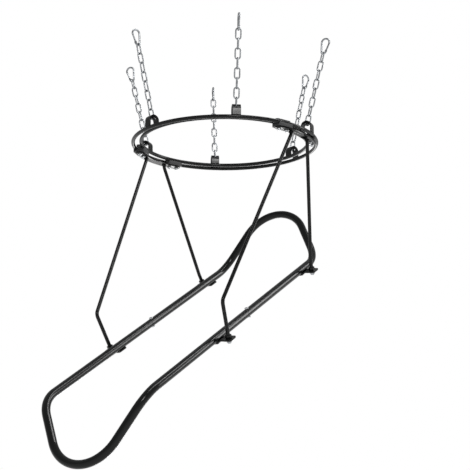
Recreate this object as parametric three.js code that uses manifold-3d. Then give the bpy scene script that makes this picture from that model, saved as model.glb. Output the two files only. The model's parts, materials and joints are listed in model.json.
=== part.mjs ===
// Basketball return: a double ring track hung on six chains, with a swivelling wire chute.
// Millimetres, +Z up. The origin is the centre of the circle of rim eyes that the hooks hang in.
// The chute runs along Y and lets the ball out towards -Y. X crosses its two rails.
import * as THREE from 'three';
import { mergeVertices } from 'three/addons/utils/BufferGeometryUtils.js';
import Module from 'manifold-3d';

const wasm = await Module();
wasm.setup();

const degrees = THREE.MathUtils.degToRad;

// Fits that every joint in the assembly shares
const SEAT_GAP = 0.3;
const RUNNING_GAP = 0.6;
const OVERRUN = 2;
const MERGE_REACH = 0.001;

// Double ring track
const TRACK_RADIUS = 190.25;
const TRACK_SPACING = 17.5;
const TRACK_STEP = 3.3;
const BAR_DIAMETER = 8;
const RING_SEGMENTS = 48;
const BAR_SIDES = 8;

// Rim eyes, hanger places and the crown pin that each chain hangs on
const HANGER_COUNT = 6;
const HANGER_START = degrees(9.7);
const RIM_EYE_RADIUS = 235.5;
const PIN_DIAMETER = 4;
const PIN_SIDES = 6;

// Chain of welded steel wire links
const LINK_COUNT = 8;
const LINK_PITCH = 19.85;
const LINK_WIRE = 3;
const LINK_WIDTH = 13.5;
const LINK_SEAT = 0.25;
const LINK_STATIONS = 8;
const LINK_SIDES = 5;

// Snap hook, its sprung gate and the rivet of the gate
const HOOK_LENGTH = 38;
const HOOK_WIRE = 4;
const HOOK_TOP_RADIUS = 8.5;
const HOOK_FOOT_RADIUS = 4.5;
const HOOK_SIDES = 6;
const HOOK_BEND_STEP = degrees(42);
const GATE_DIAMETER = 3.4;
const GATE_PIVOT_RISE = 2.6;
const GATE_CHEEK = 1;
const GATE_CHEEK_RADIUS = 2.1;
const GATE_NOSE_GAP = 0.4;
const RIVET_DIAMETER = 1.8;
const TANG_THICKNESS = 1.8;

// Hanger bracket, an arch of bent strap welded on the two rings
const BRACKET_LENGTH = 17.5;
const BRACKET_STRAP = 3;
const BRACKET_RISE = 26.7;
const BRACKET_SLOT_LENGTH = 18;
const BRACKET_SLOT_WIDTH = 3.9;
const BRACKET_SEGMENTS = 5;
const WELD_ROOM = 0.9;

// Sliders that carry the chute round the track
const SLIDER_ANGLE = degrees(18.5);
const SLIDER_LENGTH = 38;
const SLIDER_CORNER = 2.5;
const BLOCK_WIDTH = 25.2;
const BLOCK_TOP = 1.5;
const BLOCK_FLOOR = 4.2;
const SHOE_WIDTH = 11.5;
const SHOE_TOP = 6.2;
const PLATE_THICKNESS = 2.5;
const PLATE_WIDTH = 18;
const PLATE_END_ANGLE = degrees(21.3);
const PLATE_SEGMENTS = 6;

// Slider bolts, sunk in the shoes, and their nuts
const BOLT_DIAMETER = 5;
const BOLT_SPACING = 20;
const BOLT_HEAD_DIAMETER = 8.4;
const BOLT_HEAD_HEIGHT = 2.4;
const SINK_GAP = 0.6;
const BOLT_NUT_WIDTH = 8;
const BOLT_NUT_HEIGHT = 4;
const BOLT_TIP = 1.6;
const BOLT_SIDES = 6;
const HEAD_SIDES = 8;

// Chute of two bent tube halves
const TUBE_DIAMETER = 16.4;
const TUBE_SIDES = 10;
const RAIL_SPACING = 235.4;
const CHUTE_SLOPE = degrees(29.4);
const CHUTE_DROP = 340.2;
const LOWER_RAIL_REACH = 500;
const UPPER_RAIL_REACH = 213.5;
const JOINT_REACH = 120.8;
const END_BEND = degrees(44);
const END_LEG_ANGLE = degrees(28.85);
const END_BEND_RADIUS = 74;
const END_TIP_RADIUS = 81.5;
const BEND_STEP = degrees(17);

// Tube joint: a swaged spigot held by a cross screw
const SPIGOT_DIAMETER = 12.8;
const SPIGOT_LENGTH = 36;
const SCREW_DIAMETER = 4;
const SCREW_INSET = 9;
const SCREW_HEAD_DIAMETER = 8;
const SCREW_HEAD_HEIGHT = 2.2;
const SCREW_NUT_WIDTH = 7;
const SCREW_NUT_HEIGHT = 2.6;

// Drop rods from the carrier plates down to the lugs on the rails
const ROD_DIAMETER = 7.5;
const ROD_TOP_ANGLE = degrees(10.4);
const ROD_TOP_INSET = 1.5;
const ROD_TOP_STUB = 5;
const ROD_BEND_RADIUS = 14;
const FRONT_LUG_REACH = 238;
const REAR_LUG_REACH = 143.4;
const FRONT_STUB = 76.5;
const REAR_STUB = 20;

// Rail lug: strap welded under the tube, with a wing that the rod is bolted to
const LUG_STRAP = 3;
const LUG_WIDTH = 26;
const LUG_INSIDE_REACH = 6;
const LUG_UNDER_REACH = 5;
const LUG_HOLE_REACH = 24;
const LUG_END_REACH = 10;
const LUG_WING_DROP = 4.5;
const LUG_TILT = degrees(7);
const STUD_DIAMETER = 6;
const COLLAR_WIDTH = 11;
const COLLAR_HEIGHT = 6.5;
const FOOT_NUT_WIDTH = 10;
const FOOT_NUT_HEIGHT = 4;
const FOOT_NUT_WALL = 1.4;
const STUD_ROOM = 0.9;
const STUD_SIDES = 8;

// Colours and finishes
const FINISHES = {
  blackSteel: { color: 0x17181a, roughness: 0.28, metalness: 0.4 },
  zinc: { color: 0xb4b8bb, roughness: 0.34, metalness: 0.95 },
  nylon: { color: 0x121314, roughness: 0.55, metalness: 0 },
};

// Places worked out from the sizes above
const barRadius = BAR_DIAMETER / 2;
const innerRingRadius = TRACK_RADIUS - TRACK_SPACING / 2;
const outerRingRadius = TRACK_RADIUS + TRACK_SPACING / 2;
const pinRadius = PIN_DIAMETER / 2;
const linkInnerHalf = LINK_PITCH / 2;
const linkStep = LINK_PITCH + LINK_SEAT;
const lastLinkAlong = linkInnerHalf - pinRadius - SEAT_GAP;
const chainTopAlong = lastLinkAlong + linkStep * (LINK_COUNT - 1) + linkInnerHalf;
const hookSwingAlong = chainTopAlong + LINK_WIRE / 2;
const hookFootAlong = chainTopAlong - SEAT_GAP - HOOK_WIRE / 2;
const eyeAlong = hookFootAlong + HOOK_LENGTH - HOOK_WIRE * 3 / 2;
const chainTilt = Math.asin((RIM_EYE_RADIUS - TRACK_RADIUS) / eyeAlong);
const pinHeight = -eyeAlong * Math.cos(chainTilt);
const archInside = TRACK_SPACING / 2;
const archOutside = archInside + BRACKET_STRAP;
const archCentre = BRACKET_RISE - archOutside;
const pinAboveTrack = archCentre + archInside - pinRadius + LINK_SEAT;
const trackHeight = pinHeight - pinAboveTrack;
const innerBarHeight = TRACK_STEP / 2;
const outerBarHeight = -TRACK_STEP / 2;
const blockBottom = outerBarHeight - barRadius - BLOCK_FLOOR;
const plateTop = blockBottom - SEAT_GAP;
const plateBottom = plateTop - PLATE_THICKNESS;
const boltAngle = BOLT_SPACING / 2 / TRACK_RADIUS;
const boltPlaces = [-SLIDER_ANGLE - boltAngle, -SLIDER_ANGLE + boltAngle,
  SLIDER_ANGLE - boltAngle, SLIDER_ANGLE + boltAngle];
const tubeRadius = TUBE_DIAMETER / 2;
const railHalf = RAIL_SPACING / 2;

// Axes of the chute: along the rails uphill, and square to the plane of the rails
const uphill = new THREE.Vector3(0, Math.cos(CHUTE_SLOPE), Math.sin(CHUTE_SLOPE));
const chuteNormal = new THREE.Vector3(0, -Math.sin(CHUTE_SLOPE), Math.cos(CHUTE_SLOPE));
const outward = new THREE.Vector3(1, 0, 0);

// Place on a rail: across from the middle, along uphill and above the rails' plane
function chutePoint(across, along, above) {
  return new THREE.Vector3(0, 0, trackHeight - CHUTE_DROP)
    .addScaledVector(outward, across)
    .addScaledVector(uphill, along)
    .addScaledVector(chuteNormal, above);
}

// Closed solid for joining and cutting, from a three.js geometry
function toSolid(geometry) {
  const bare = geometry.clone();
  bare.deleteAttribute('normal');
  bare.deleteAttribute('uv');
  const merged = mergeVertices(bare, MERGE_REACH);
  const vertProperties = new Float32Array(merged.attributes.position.array);
  const triVerts = new Uint32Array(merged.index.array);
  return new wasm.Manifold(new wasm.Mesh({ numProp: 3, vertProperties, triVerts }));
}

function toGeometry(solid) {
  const { vertProperties, triVerts } = solid.getMesh();
  const geometry = new THREE.BufferGeometry();
  geometry.setAttribute('position', new THREE.BufferAttribute(new Float32Array(vertProperties), 3));
  geometry.setIndex(new THREE.BufferAttribute(new Uint32Array(triVerts), 1));
  geometry.computeVertexNormals();
  return geometry;
}

function joined(first, ...others) {
  return toGeometry(others.reduce((solid, other) => solid.add(toSolid(other)), toSolid(first)));
}

function cut(first, ...tools) {
  return toGeometry(tools.reduce((solid, tool) => solid.subtract(toSolid(tool)), toSolid(first)));
}

// A path that is met only at chosen stations, so straight runs cost no facets
class StationCurve extends THREE.Curve {
  constructor(stations) {
    super();
    this.stations = stations;
  }

  at(share, key) {
    const last = this.stations.length - 1;
    const place = Math.round(share * last);
    return this.stations[Math.min(place, last)][key].clone();
  }

  getPointAt(share) {
    return this.at(share, 'point');
  }

  getTangentAt(share) {
    return this.at(share, 'tangent');
  }
}

function direction(from, to) {
  return to.clone().sub(from).normalize();
}

// Stations of a bent bar: its corners are rounded to the given centreline radii
function bentStations(corners, radii, stepAngle) {
  const last = corners.length - 1;
  const stations = [{ point: corners[0], tangent: direction(corners[0], corners[1]) }];
  for (let i = 1; i < last; i += 1) {
    const into = direction(corners[i - 1], corners[i]);
    const turn = into.angleTo(direction(corners[i], corners[i + 1]));
    const axis = into.clone().cross(direction(corners[i], corners[i + 1])).normalize();
    const radius = radii[i - 1];
    const inward = axis.clone().cross(into).multiplyScalar(radius);
    const centre = corners[i].clone().addScaledVector(into, -radius * Math.tan(turn / 2)).add(inward);
    const steps = Math.max(2, Math.ceil(turn / stepAngle));
    for (let step = 0; step <= steps; step += 1) {
      const angle = turn * step / steps;
      stations.push({
        point: centre.clone().sub(inward.clone().applyAxisAngle(axis, angle)),
        tangent: into.clone().applyAxisAngle(axis, angle),
      });
    }
  }
  stations.push({ point: corners[last], tangent: direction(corners[last - 1], corners[last]) });
  return stations;
}

function roundShape(radius, sides) {
  const points = Array.from({ length: sides }, (_, side) => {
    const angle = side / sides * Math.PI * 2;
    return new THREE.Vector2(Math.cos(angle) * radius, Math.sin(angle) * radius);
  });
  return new THREE.Shape(points);
}

function sweptBar(stations, diameter, sides) {
  return new THREE.ExtrudeGeometry(roundShape(diameter / 2, sides), {
    steps: stations.length - 1,
    extrudePath: new StationCurve(stations),
  });
}

// Cylinder or hexagon between two points
function straightBar(from, to, diameter, sides) {
  return sweptBar([{ point: from, tangent: direction(from, to) },
    { point: to, tangent: direction(from, to) }], diameter, sides);
}

const acrossFlats = (width) => width / Math.cos(Math.PI / 6);

function box(low, high) {
  const size = high.clone().sub(low);
  const middle = low.clone().add(high).divideScalar(2);
  return new THREE.BoxGeometry(size.x, size.y, size.z).translate(middle.x, middle.y, middle.z);
}

// Ring of bar, or the groove that a slider keeps round it, about +Z at the track's height
function ringBar(radius, height, extra = 0) {
  return new THREE.TorusGeometry(radius, barRadius + extra, BAR_SIDES, RING_SEGMENTS)
    .translate(0, 0, height);
}

const innerBar = (extra) => ringBar(innerRingRadius, innerBarHeight, extra);
const outerBar = (extra) => ringBar(outerRingRadius, outerBarHeight, extra);

// One chain link, long along Z and flat in XZ: a ring of wire drawn out at its two ends
function chainLink() {
  const corner = Math.cos(Math.PI / LINK_STATIONS);
  const bendRadius = (LINK_WIDTH - LINK_WIRE) / 2 / corner;
  const wireRadius = LINK_WIRE / 2 / corner;
  const section = Array.from({ length: LINK_SIDES + 1 }, (_, side) => {
    const angle = Math.PI + side % LINK_SIDES / LINK_SIDES * Math.PI * 2;
    return new THREE.Vector2(bendRadius + Math.cos(angle) * wireRadius, Math.sin(angle) * wireRadius);
  });
  const link = new THREE.LatheGeometry(section, LINK_STATIONS, Math.PI / LINK_STATIONS);
  const draw = linkInnerHalf - (LINK_WIDTH / 2 - LINK_WIRE);
  const places = link.attributes.position;
  for (let i = 0; i < places.count; i += 1) {
    places.setZ(i, places.getZ(i) + Math.sign(places.getZ(i)) * draw);
  }
  return link;
}

// Chain along Z from the crown pin at the origin; its last link stands in the radial plane
function chainGeometry() {
  const links = Array.from({ length: LINK_COUNT }, (_, i) => chainLink()
    .rotateZ(i % 2 * Math.PI / 2)
    .translate(0, 0, lastLinkAlong + linkStep * i));
  return joined(...links);
}

// Points on the pear-shaped centreline of the hook, in XZ from the middle of its foot
const hookFootCentre = HOOK_FOOT_RADIUS;
const hookTopCentre = HOOK_LENGTH - HOOK_WIRE - HOOK_TOP_RADIUS;
const hookFlare = Math.asin((HOOK_TOP_RADIUS - HOOK_FOOT_RADIUS) / (hookTopCentre - hookFootCentre));

function hookArc(centre, radius, from, to) {
  const steps = Math.ceil(Math.abs(to - from) / HOOK_BEND_STEP);
  return Array.from({ length: steps + 1 }, (_, step) => {
    const angle = from + (to - from) * step / steps;
    const spoke = new THREE.Vector3(Math.cos(angle), 0, Math.sin(angle));
    return {
      point: spoke.clone().multiplyScalar(radius).add(new THREE.Vector3(0, 0, centre)),
      tangent: new THREE.Vector3(Math.sin(angle), 0, -Math.cos(angle)),
    };
  });
}

const gateLine = new THREE.Vector3(Math.sin(hookFlare), 0, Math.cos(hookFlare));
const gatePivot = new THREE.Vector3(Math.cos(hookFlare), 0, -Math.sin(hookFlare))
  .multiplyScalar(HOOK_FOOT_RADIUS)
  .add(new THREE.Vector3(0, 0, hookFootCentre))
  .addScaledVector(gateLine, GATE_PIVOT_RISE);
const gateNose = new THREE.Vector3(Math.cos(hookFlare), 0, -Math.sin(hookFlare))
  .multiplyScalar(HOOK_TOP_RADIUS)
  .add(new THREE.Vector3(0, 0, hookTopCentre));

function acrossGate(point, reach) {
  return point.clone().add(new THREE.Vector3(0, reach, 0));
}

// Hook body: from the gate's rivet round the foot, up the back and over to the nose
function snapHook() {
  const foot = hookArc(hookFootCentre, HOOK_FOOT_RADIUS, -hookFlare, -Math.PI + hookFlare);
  const top = hookArc(hookTopCentre, HOOK_TOP_RADIUS, Math.PI + hookFlare, -hookFlare);
  const end = { point: gatePivot.clone(), tangent: gateLine.clone().negate() };
  const wire = sweptBar([end, ...foot, ...top], HOOK_WIRE, HOOK_SIDES);
  const eye = straightBar(acrossGate(gatePivot, -TANG_THICKNESS / 2),
    acrossGate(gatePivot, TANG_THICKNESS / 2), HOOK_WIRE, BOLT_SIDES);
  const rivetReach = HOOK_WIRE / 2 + OVERRUN;
  const rivetHole = straightBar(acrossGate(gatePivot, -rivetReach), acrossGate(gatePivot, rivetReach),
    acrossFlats(RIVET_DIAMETER + SEAT_GAP * 2), BOLT_SIDES);
  return cut(joined(wire, eye), rivetHole, ...[-1, 1].map(forkRoom));
}

// Room beside the hook's tang for one cheek of the gate's fork
function forkRoom(side) {
  const near = side * TANG_THICKNESS / 2;
  const far = side * (HOOK_WIRE / 2 + OVERRUN);
  return straightBar(acrossGate(gatePivot, near), acrossGate(gatePivot, far),
    acrossFlats((GATE_CHEEK_RADIUS + SEAT_GAP) * 2), BOLT_SIDES);
}

// Gate: a bar with a forked end that straddles the tang, and its rivet
function hookGate() {
  const barFoot = gatePivot.clone().addScaledVector(gateLine, HOOK_WIRE / 2 + SEAT_GAP);
  const barTop = gateNose.clone().addScaledVector(gateLine, -GATE_NOSE_GAP);
  const bar = straightBar(barFoot, barTop, GATE_DIAMETER, HOOK_SIDES);
  const inside = TANG_THICKNESS / 2 + SEAT_GAP;
  const outside = inside + GATE_CHEEK;
  const cheeks = [-1, 1].flatMap((side) => [
    straightBar(acrossGate(gatePivot, side * inside), acrossGate(gatePivot, side * outside),
      GATE_CHEEK_RADIUS * 2, BOLT_SIDES),
    gateStrap(side * inside, side * outside, barFoot),
  ]);
  const rivet = straightBar(acrossGate(gatePivot, -outside), acrossGate(gatePivot, outside),
    RIVET_DIAMETER, BOLT_SIDES);
  return joined(bar, ...cheeks, rivet);
}

// Flat side of the fork, from the rivet up to the bar
function gateStrap(inside, outside, barFoot) {
  const length = barFoot.distanceTo(gatePivot) + GATE_CHEEK;
  return box(new THREE.Vector3(-GATE_DIAMETER / 2, Math.min(inside, outside), 0),
    new THREE.Vector3(GATE_DIAMETER / 2, Math.max(inside, outside), length))
    .rotateY(hookFlare)
    .translate(gatePivot.x, gatePivot.y, gatePivot.z);
}

// Hanger bracket in its own radial frame, X outward, with the crown pin under its arch
function hangerBracket() {
  const arch = new THREE.Shape();
  arch.moveTo(archOutside, outerBarHeight);
  arch.lineTo(archOutside, archCentre);
  arch.absarc(0, archCentre, archOutside, 0, Math.PI);
  arch.lineTo(-archOutside, innerBarHeight);
  arch.lineTo(-archInside, innerBarHeight);
  arch.lineTo(-archInside, archCentre);
  arch.absarc(0, archCentre, archInside, Math.PI, 0, true);
  arch.lineTo(archInside, outerBarHeight);
  const strap = new THREE.ExtrudeGeometry(arch, {
    depth: BRACKET_LENGTH, bevelEnabled: false, curveSegments: BRACKET_SEGMENTS,
  }).translate(0, 0, -BRACKET_LENGTH / 2).rotateX(Math.PI / 2).translate(TRACK_RADIUS, 0, 0);
  const slotBottom = pinAboveTrack - LINK_WIRE;
  const slot = box(
    new THREE.Vector3(TRACK_RADIUS - BRACKET_SLOT_LENGTH / 2, -BRACKET_SLOT_WIDTH / 2, slotBottom),
    new THREE.Vector3(TRACK_RADIUS + BRACKET_SLOT_LENGTH / 2, BRACKET_SLOT_WIDTH / 2,
      BRACKET_RISE + OVERRUN));
  const pinEnd = new THREE.Vector3(TRACK_RADIUS, BRACKET_LENGTH / 2 - BRACKET_STRAP / 2, pinAboveTrack);
  const pin = straightBar(pinEnd.clone().setY(-pinEnd.y), pinEnd, PIN_DIAMETER, PIN_SIDES);
  const seats = [[innerRingRadius, innerBarHeight], [outerRingRadius, outerBarHeight]].map(seatRoom);
  return joined(cut(strap, slot, ...seats), pin);
}

// Room for a ring's bar under a bracket's foot, in the bracket's own frame
function seatRoom([radius, height]) {
  const far = new THREE.Vector3(radius, BRACKET_LENGTH / 2 + OVERRUN, height);
  return straightBar(far.clone().setY(-far.y), far, BAR_DIAMETER + WELD_ROOM, BAR_SIDES);
}

// Rounded block in the slider's own frame: X outward across the track, Y along it
function roundedBlock(width, length, bottom, top) {
  const [halfX, halfY] = [width / 2, length / 2];
  const plan = new THREE.Shape();
  plan.moveTo(halfX, -halfY + SLIDER_CORNER);
  plan.lineTo(halfX, halfY - SLIDER_CORNER);
  plan.lineTo(halfX - SLIDER_CORNER, halfY);
  plan.lineTo(-halfX + SLIDER_CORNER, halfY);
  plan.lineTo(-halfX, halfY - SLIDER_CORNER);
  plan.lineTo(-halfX, -halfY + SLIDER_CORNER);
  plan.lineTo(-halfX + SLIDER_CORNER, -halfY);
  plan.lineTo(halfX - SLIDER_CORNER, -halfY);
  return new THREE.ExtrudeGeometry(plan, { depth: top - bottom, bevelEnabled: false })
    .translate(TRACK_RADIUS, 0, bottom);
}

// Hole for a slider bolt, at an angle round the track, from under the plate to over the shoe
function boltHole(angle) {
  const [x, y] = [Math.cos(angle) * TRACK_RADIUS, Math.sin(angle) * TRACK_RADIUS];
  return straightBar(new THREE.Vector3(x, y, plateBottom - OVERRUN),
    new THREE.Vector3(x, y, SHOE_TOP + OVERRUN), acrossFlats(BOLT_DIAMETER + SEAT_GAP * 2), BOLT_SIDES);
}

// Cone of a sunk bolt head with its top face at the origin, or the wider and taller one that it sinks in
function headCone(extra = 0, rise = 0) {
  const slope = (BOLT_HEAD_DIAMETER - BOLT_DIAMETER) / 2 / BOLT_HEAD_HEIGHT;
  const top = BOLT_HEAD_DIAMETER / 2 + extra + rise * slope;
  return new THREE.CylinderGeometry(top, BOLT_DIAMETER / 2 + extra, BOLT_HEAD_HEIGHT + rise, HEAD_SIDES)
    .rotateX(Math.PI / 2)
    .translate(0, 0, (rise - BOLT_HEAD_HEIGHT) / 2);
}

// Room in a shoe for the head of a slider bolt
function headRoom(angle) {
  return headCone(SINK_GAP, OVERRUN)
    .translate(Math.cos(angle) * TRACK_RADIUS, Math.sin(angle) * TRACK_RADIUS, SHOE_TOP);
}

// Ring grooves as a slider at the given angle sees them
function grooves(angle) {
  return [innerBar(RUNNING_GAP), outerBar(RUNNING_GAP)].map((bar) => bar.rotateZ(-angle));
}

function sliderHoles() {
  return [boltHole(-boltAngle), boltHole(boltAngle)];
}

// Nylon block under the rings: cradles both bars, and is open upwards and outwards by the outer one
function lowerBlock(angle) {
  const block = roundedBlock(BLOCK_WIDTH, SLIDER_LENGTH, blockBottom, BLOCK_TOP);
  const clear = barRadius + RUNNING_GAP;
  const open = box(
    new THREE.Vector3(innerRingRadius, -SLIDER_LENGTH, outerBarHeight),
    new THREE.Vector3(outerRingRadius + clear + RUNNING_GAP, SLIDER_LENGTH, BLOCK_TOP + OVERRUN));
  return cut(block, open, ...grooves(angle), ...sliderHoles());
}

// Nylon shoe on top of the rings, with a rib that runs in the slot between them
function guideShoe(angle) {
  const shoe = roundedBlock(SHOE_WIDTH, SLIDER_LENGTH, outerBarHeight + SEAT_GAP * 2, SHOE_TOP);
  return cut(shoe, ...grooves(angle), ...sliderHoles(), headRoom(-boltAngle), headRoom(boltAngle));
}

// Curved plate under the track that joins two sliders, with rounded ends and a hole for each bolt
function carrierPlate() {
  const inside = TRACK_RADIUS - PLATE_WIDTH / 2;
  const outside = TRACK_RADIUS + PLATE_WIDTH / 2;
  const [from, to] = [-PLATE_END_ANGLE, PLATE_END_ANGLE];
  const [endX, endY] = [Math.cos(to) * TRACK_RADIUS, Math.sin(to) * TRACK_RADIUS];
  const plan = new THREE.Shape();
  plan.absarc(0, 0, outside, from, to);
  plan.absarc(endX, endY, PLATE_WIDTH / 2, to, to + Math.PI);
  plan.absarc(0, 0, inside, to, from, true);
  plan.absarc(endX, -endY, PLATE_WIDTH / 2, from + Math.PI, from + Math.PI * 2);
  const plate = new THREE.ExtrudeGeometry(plan, {
    depth: PLATE_THICKNESS, bevelEnabled: false, curveSegments: PLATE_SEGMENTS,
  }).translate(0, 0, plateBottom);
  return cut(plate, ...boltPlaces.map(boltHole));
}

// Slider bolt with its nut, upright at the origin of the track's middle plane
function sliderBolt() {
  const at = (height) => new THREE.Vector3(0, 0, height);
  const nutTop = plateBottom - SEAT_GAP;
  const nutBottom = nutTop - BOLT_NUT_HEIGHT;
  const shank = straightBar(at(nutBottom - BOLT_TIP), at(SHOE_TOP - BOLT_HEAD_HEIGHT / 2),
    BOLT_DIAMETER, BOLT_SIDES);
  const head = headCone().translate(0, 0, SHOE_TOP);
  const nut = straightBar(at(nutBottom), at(nutTop), acrossFlats(BOLT_NUT_WIDTH), 6);
  return joined(shank, head, nut);
}

// One half of the chute: two rails from the joint to a raised or lowered rounded end
function chuteLoop(jointAlong, endAlong) {
  const way = Math.sign(endAlong - jointAlong);
  const along = uphill.clone().multiplyScalar(way);
  const endDown = along.clone().multiplyScalar(Math.cos(END_BEND))
    .addScaledVector(chuteNormal, way * Math.sin(END_BEND));
  const apexReach = railHalf / Math.tan(END_LEG_ANGLE);
  const apex = chutePoint(0, endAlong, 0).addScaledVector(endDown, apexReach);
  const corners = [chutePoint(-railHalf, jointAlong, 0), chutePoint(-railHalf, endAlong, 0), apex,
    chutePoint(railHalf, endAlong, 0), chutePoint(railHalf, jointAlong, 0)];
  const stations = bentStations(corners, [END_BEND_RADIUS, END_TIP_RADIUS, END_BEND_RADIUS], BEND_STEP);
  return sweptBar(stations, TUBE_DIAMETER, TUBE_SIDES);
}

// Cylinder in line with a rail at the joint
function jointCore(side, from, to, diameter) {
  return straightBar(chutePoint(side * railHalf, from, 0), chutePoint(side * railHalf, to, 0),
    diameter, TUBE_SIDES);
}

// Hole for the cross screw of a joint
function screwHole(side) {
  const along = -JOINT_REACH + SCREW_INSET;
  return straightBar(chutePoint(side * railHalf, along, -TUBE_DIAMETER),
    chutePoint(side * railHalf, along, TUBE_DIAMETER), acrossFlats(SCREW_DIAMETER + SEAT_GAP * 2),
    BOLT_SIDES);
}

// Wing of a lug: the middle of its rod hole on the top face, and the axis of the rod's stud
function wingPlace(side, along) {
  const axis = chuteNormal.clone().multiplyScalar(Math.cos(LUG_TILT))
    .addScaledVector(outward, side * Math.sin(LUG_TILT));
  return { top: chutePoint(side * (railHalf + LUG_HOLE_REACH), along, -LUG_WING_DROP), axis };
}

// Strap lug across the underside of a rail, with a hole in its wing
function railLug(side, along) {
  const slope = Math.tan(LUG_TILT);
  const bottom = -tubeRadius - LUG_STRAP + LINK_SEAT;
  const wingTop = (reach) => -LUG_WING_DROP - (reach - LUG_HOLE_REACH) * slope;
  const end = LUG_HOLE_REACH + LUG_END_REACH;
  const root = tubeRadius - LINK_SEAT;
  const section = new THREE.Shape([
    new THREE.Vector2(-LUG_INSIDE_REACH, bottom),
    new THREE.Vector2(LUG_UNDER_REACH, bottom),
    new THREE.Vector2(tubeRadius + LUG_STRAP, wingTop(tubeRadius + LUG_STRAP) - LUG_STRAP),
    new THREE.Vector2(end, wingTop(end) - LUG_STRAP),
    new THREE.Vector2(end, wingTop(end)),
    new THREE.Vector2(root, wingTop(root)),
    new THREE.Vector2(LUG_UNDER_REACH - LUG_STRAP / 2, bottom + LUG_STRAP),
    new THREE.Vector2(-LUG_INSIDE_REACH, bottom + LUG_STRAP),
  ]);
  const strap = new THREE.ExtrudeGeometry(section, { depth: LUG_WIDTH, bevelEnabled: false })
    .translate(0, 0, -LUG_WIDTH / 2);
  const place = new THREE.Matrix4().makeBasis(outward, chuteNormal, uphill.clone().negate())
    .setPosition(chutePoint(railHalf, along, 0));
  strap.applyMatrix4(place);
  return side > 0 ? strap : mirrored(strap);
}

// Mirror image across the middle plane of the chute
function mirrored(geometry) {
  const copy = geometry.clone().scale(-1, 1, 1);
  const flip = copy.index ? copy.toNonIndexed() : copy;
  const places = flip.attributes.position;
  const from = new THREE.Vector3();
  const to = new THREE.Vector3();
  for (let i = 0; i < places.count; i += 3) {
    from.fromBufferAttribute(places, i);
    to.fromBufferAttribute(places, i + 1);
    places.setXYZ(i, to.x, to.y, to.z);
    places.setXYZ(i + 1, from.x, from.y, from.z);
  }
  return flip;
}

function wingHole(side, along) {
  const { top, axis } = wingPlace(side, along);
  return straightBar(top.clone().addScaledVector(axis, -LUG_STRAP - OVERRUN),
    top.clone().addScaledVector(axis, OVERRUN), acrossFlats(STUD_DIAMETER + SEAT_GAP * 2), STUD_SIDES);
}

// Raised half of the chute, its tube ends bored for the spigots
function chuteUpperHalf() {
  const loop = chuteLoop(-JOINT_REACH, UPPER_RAIL_REACH);
  const lugs = [-1, 1].map((side) => railLug(side, REAR_LUG_REACH));
  const depth = -JOINT_REACH + SPIGOT_LENGTH + OVERRUN;
  const bores = [-1, 1].map((side) => jointCore(side, -JOINT_REACH - OVERRUN, depth,
    SPIGOT_DIAMETER + SEAT_GAP * 2));
  const holes = [-1, 1].flatMap((side) => [screwHole(side), wingHole(side, REAR_LUG_REACH)]);
  return cut(joined(loop, ...lugs), ...bores, ...holes);
}

// Lower half of the chute, with the swaged spigots that plug into the upper half
function chuteLowerHalf() {
  const loop = chuteLoop(-JOINT_REACH - SEAT_GAP, -LOWER_RAIL_REACH);
  const lugs = [-1, 1].map((side) => railLug(side, -FRONT_LUG_REACH));
  const spigots = [-1, 1].map((side) => jointCore(side, -JOINT_REACH - SPIGOT_LENGTH,
    -JOINT_REACH + SPIGOT_LENGTH, SPIGOT_DIAMETER));
  const holes = [-1, 1].flatMap((side) => [screwHole(side), wingHole(side, -FRONT_LUG_REACH)]);
  return cut(joined(loop, ...lugs, ...spigots), ...holes);
}

// Cross screw of a tube joint, with its nut under the rail
function jointScrew(side) {
  const at = (above) => chutePoint(side * railHalf, -JOINT_REACH + SCREW_INSET, above);
  const face = tubeRadius + SEAT_GAP;
  const shank = straightBar(at(-face - SCREW_NUT_HEIGHT), at(face + SCREW_HEAD_HEIGHT / 2),
    SCREW_DIAMETER, BOLT_SIDES);
  const head = straightBar(at(face), at(face + SCREW_HEAD_HEIGHT), SCREW_HEAD_DIAMETER, HEAD_SIDES);
  const nut = straightBar(at(-face), at(-face - SCREW_NUT_HEIGHT + LINK_SEAT),
    acrossFlats(SCREW_NUT_WIDTH), 6);
  return joined(shank, head, nut);
}

// Drop rod from under the carrier plate to its lug, ending in a collar and a threaded stud
function dropRod(side, topAngle, lugAlong, stub) {
  const reach = TRACK_RADIUS - ROD_TOP_INSET;
  const head = new THREE.Vector3(side * Math.cos(topAngle) * reach, Math.sin(topAngle) * reach,
    trackHeight + plateBottom - SEAT_GAP);
  const { top, axis } = wingPlace(side, lugAlong);
  const on = (reach) => top.clone().addScaledVector(axis, reach);
  const shoulder = head.clone().add(new THREE.Vector3(0, 0, -ROD_TOP_STUB));
  const stations = bentStations([head, shoulder, on(stub), on(SEAT_GAP + COLLAR_HEIGHT / 2)],
    [ROD_BEND_RADIUS, ROD_BEND_RADIUS], BEND_STEP);
  const bar = sweptBar(stations, ROD_DIAMETER, BAR_SIDES);
  const collar = straightBar(on(SEAT_GAP), on(SEAT_GAP + COLLAR_HEIGHT), acrossFlats(COLLAR_WIDTH), 6);
  const stud = straightBar(on(-LUG_STRAP - FOOT_NUT_HEIGHT - SEAT_GAP), on(COLLAR_HEIGHT),
    STUD_DIAMETER, STUD_SIDES);
  return joined(bar, collar, stud);
}

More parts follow.
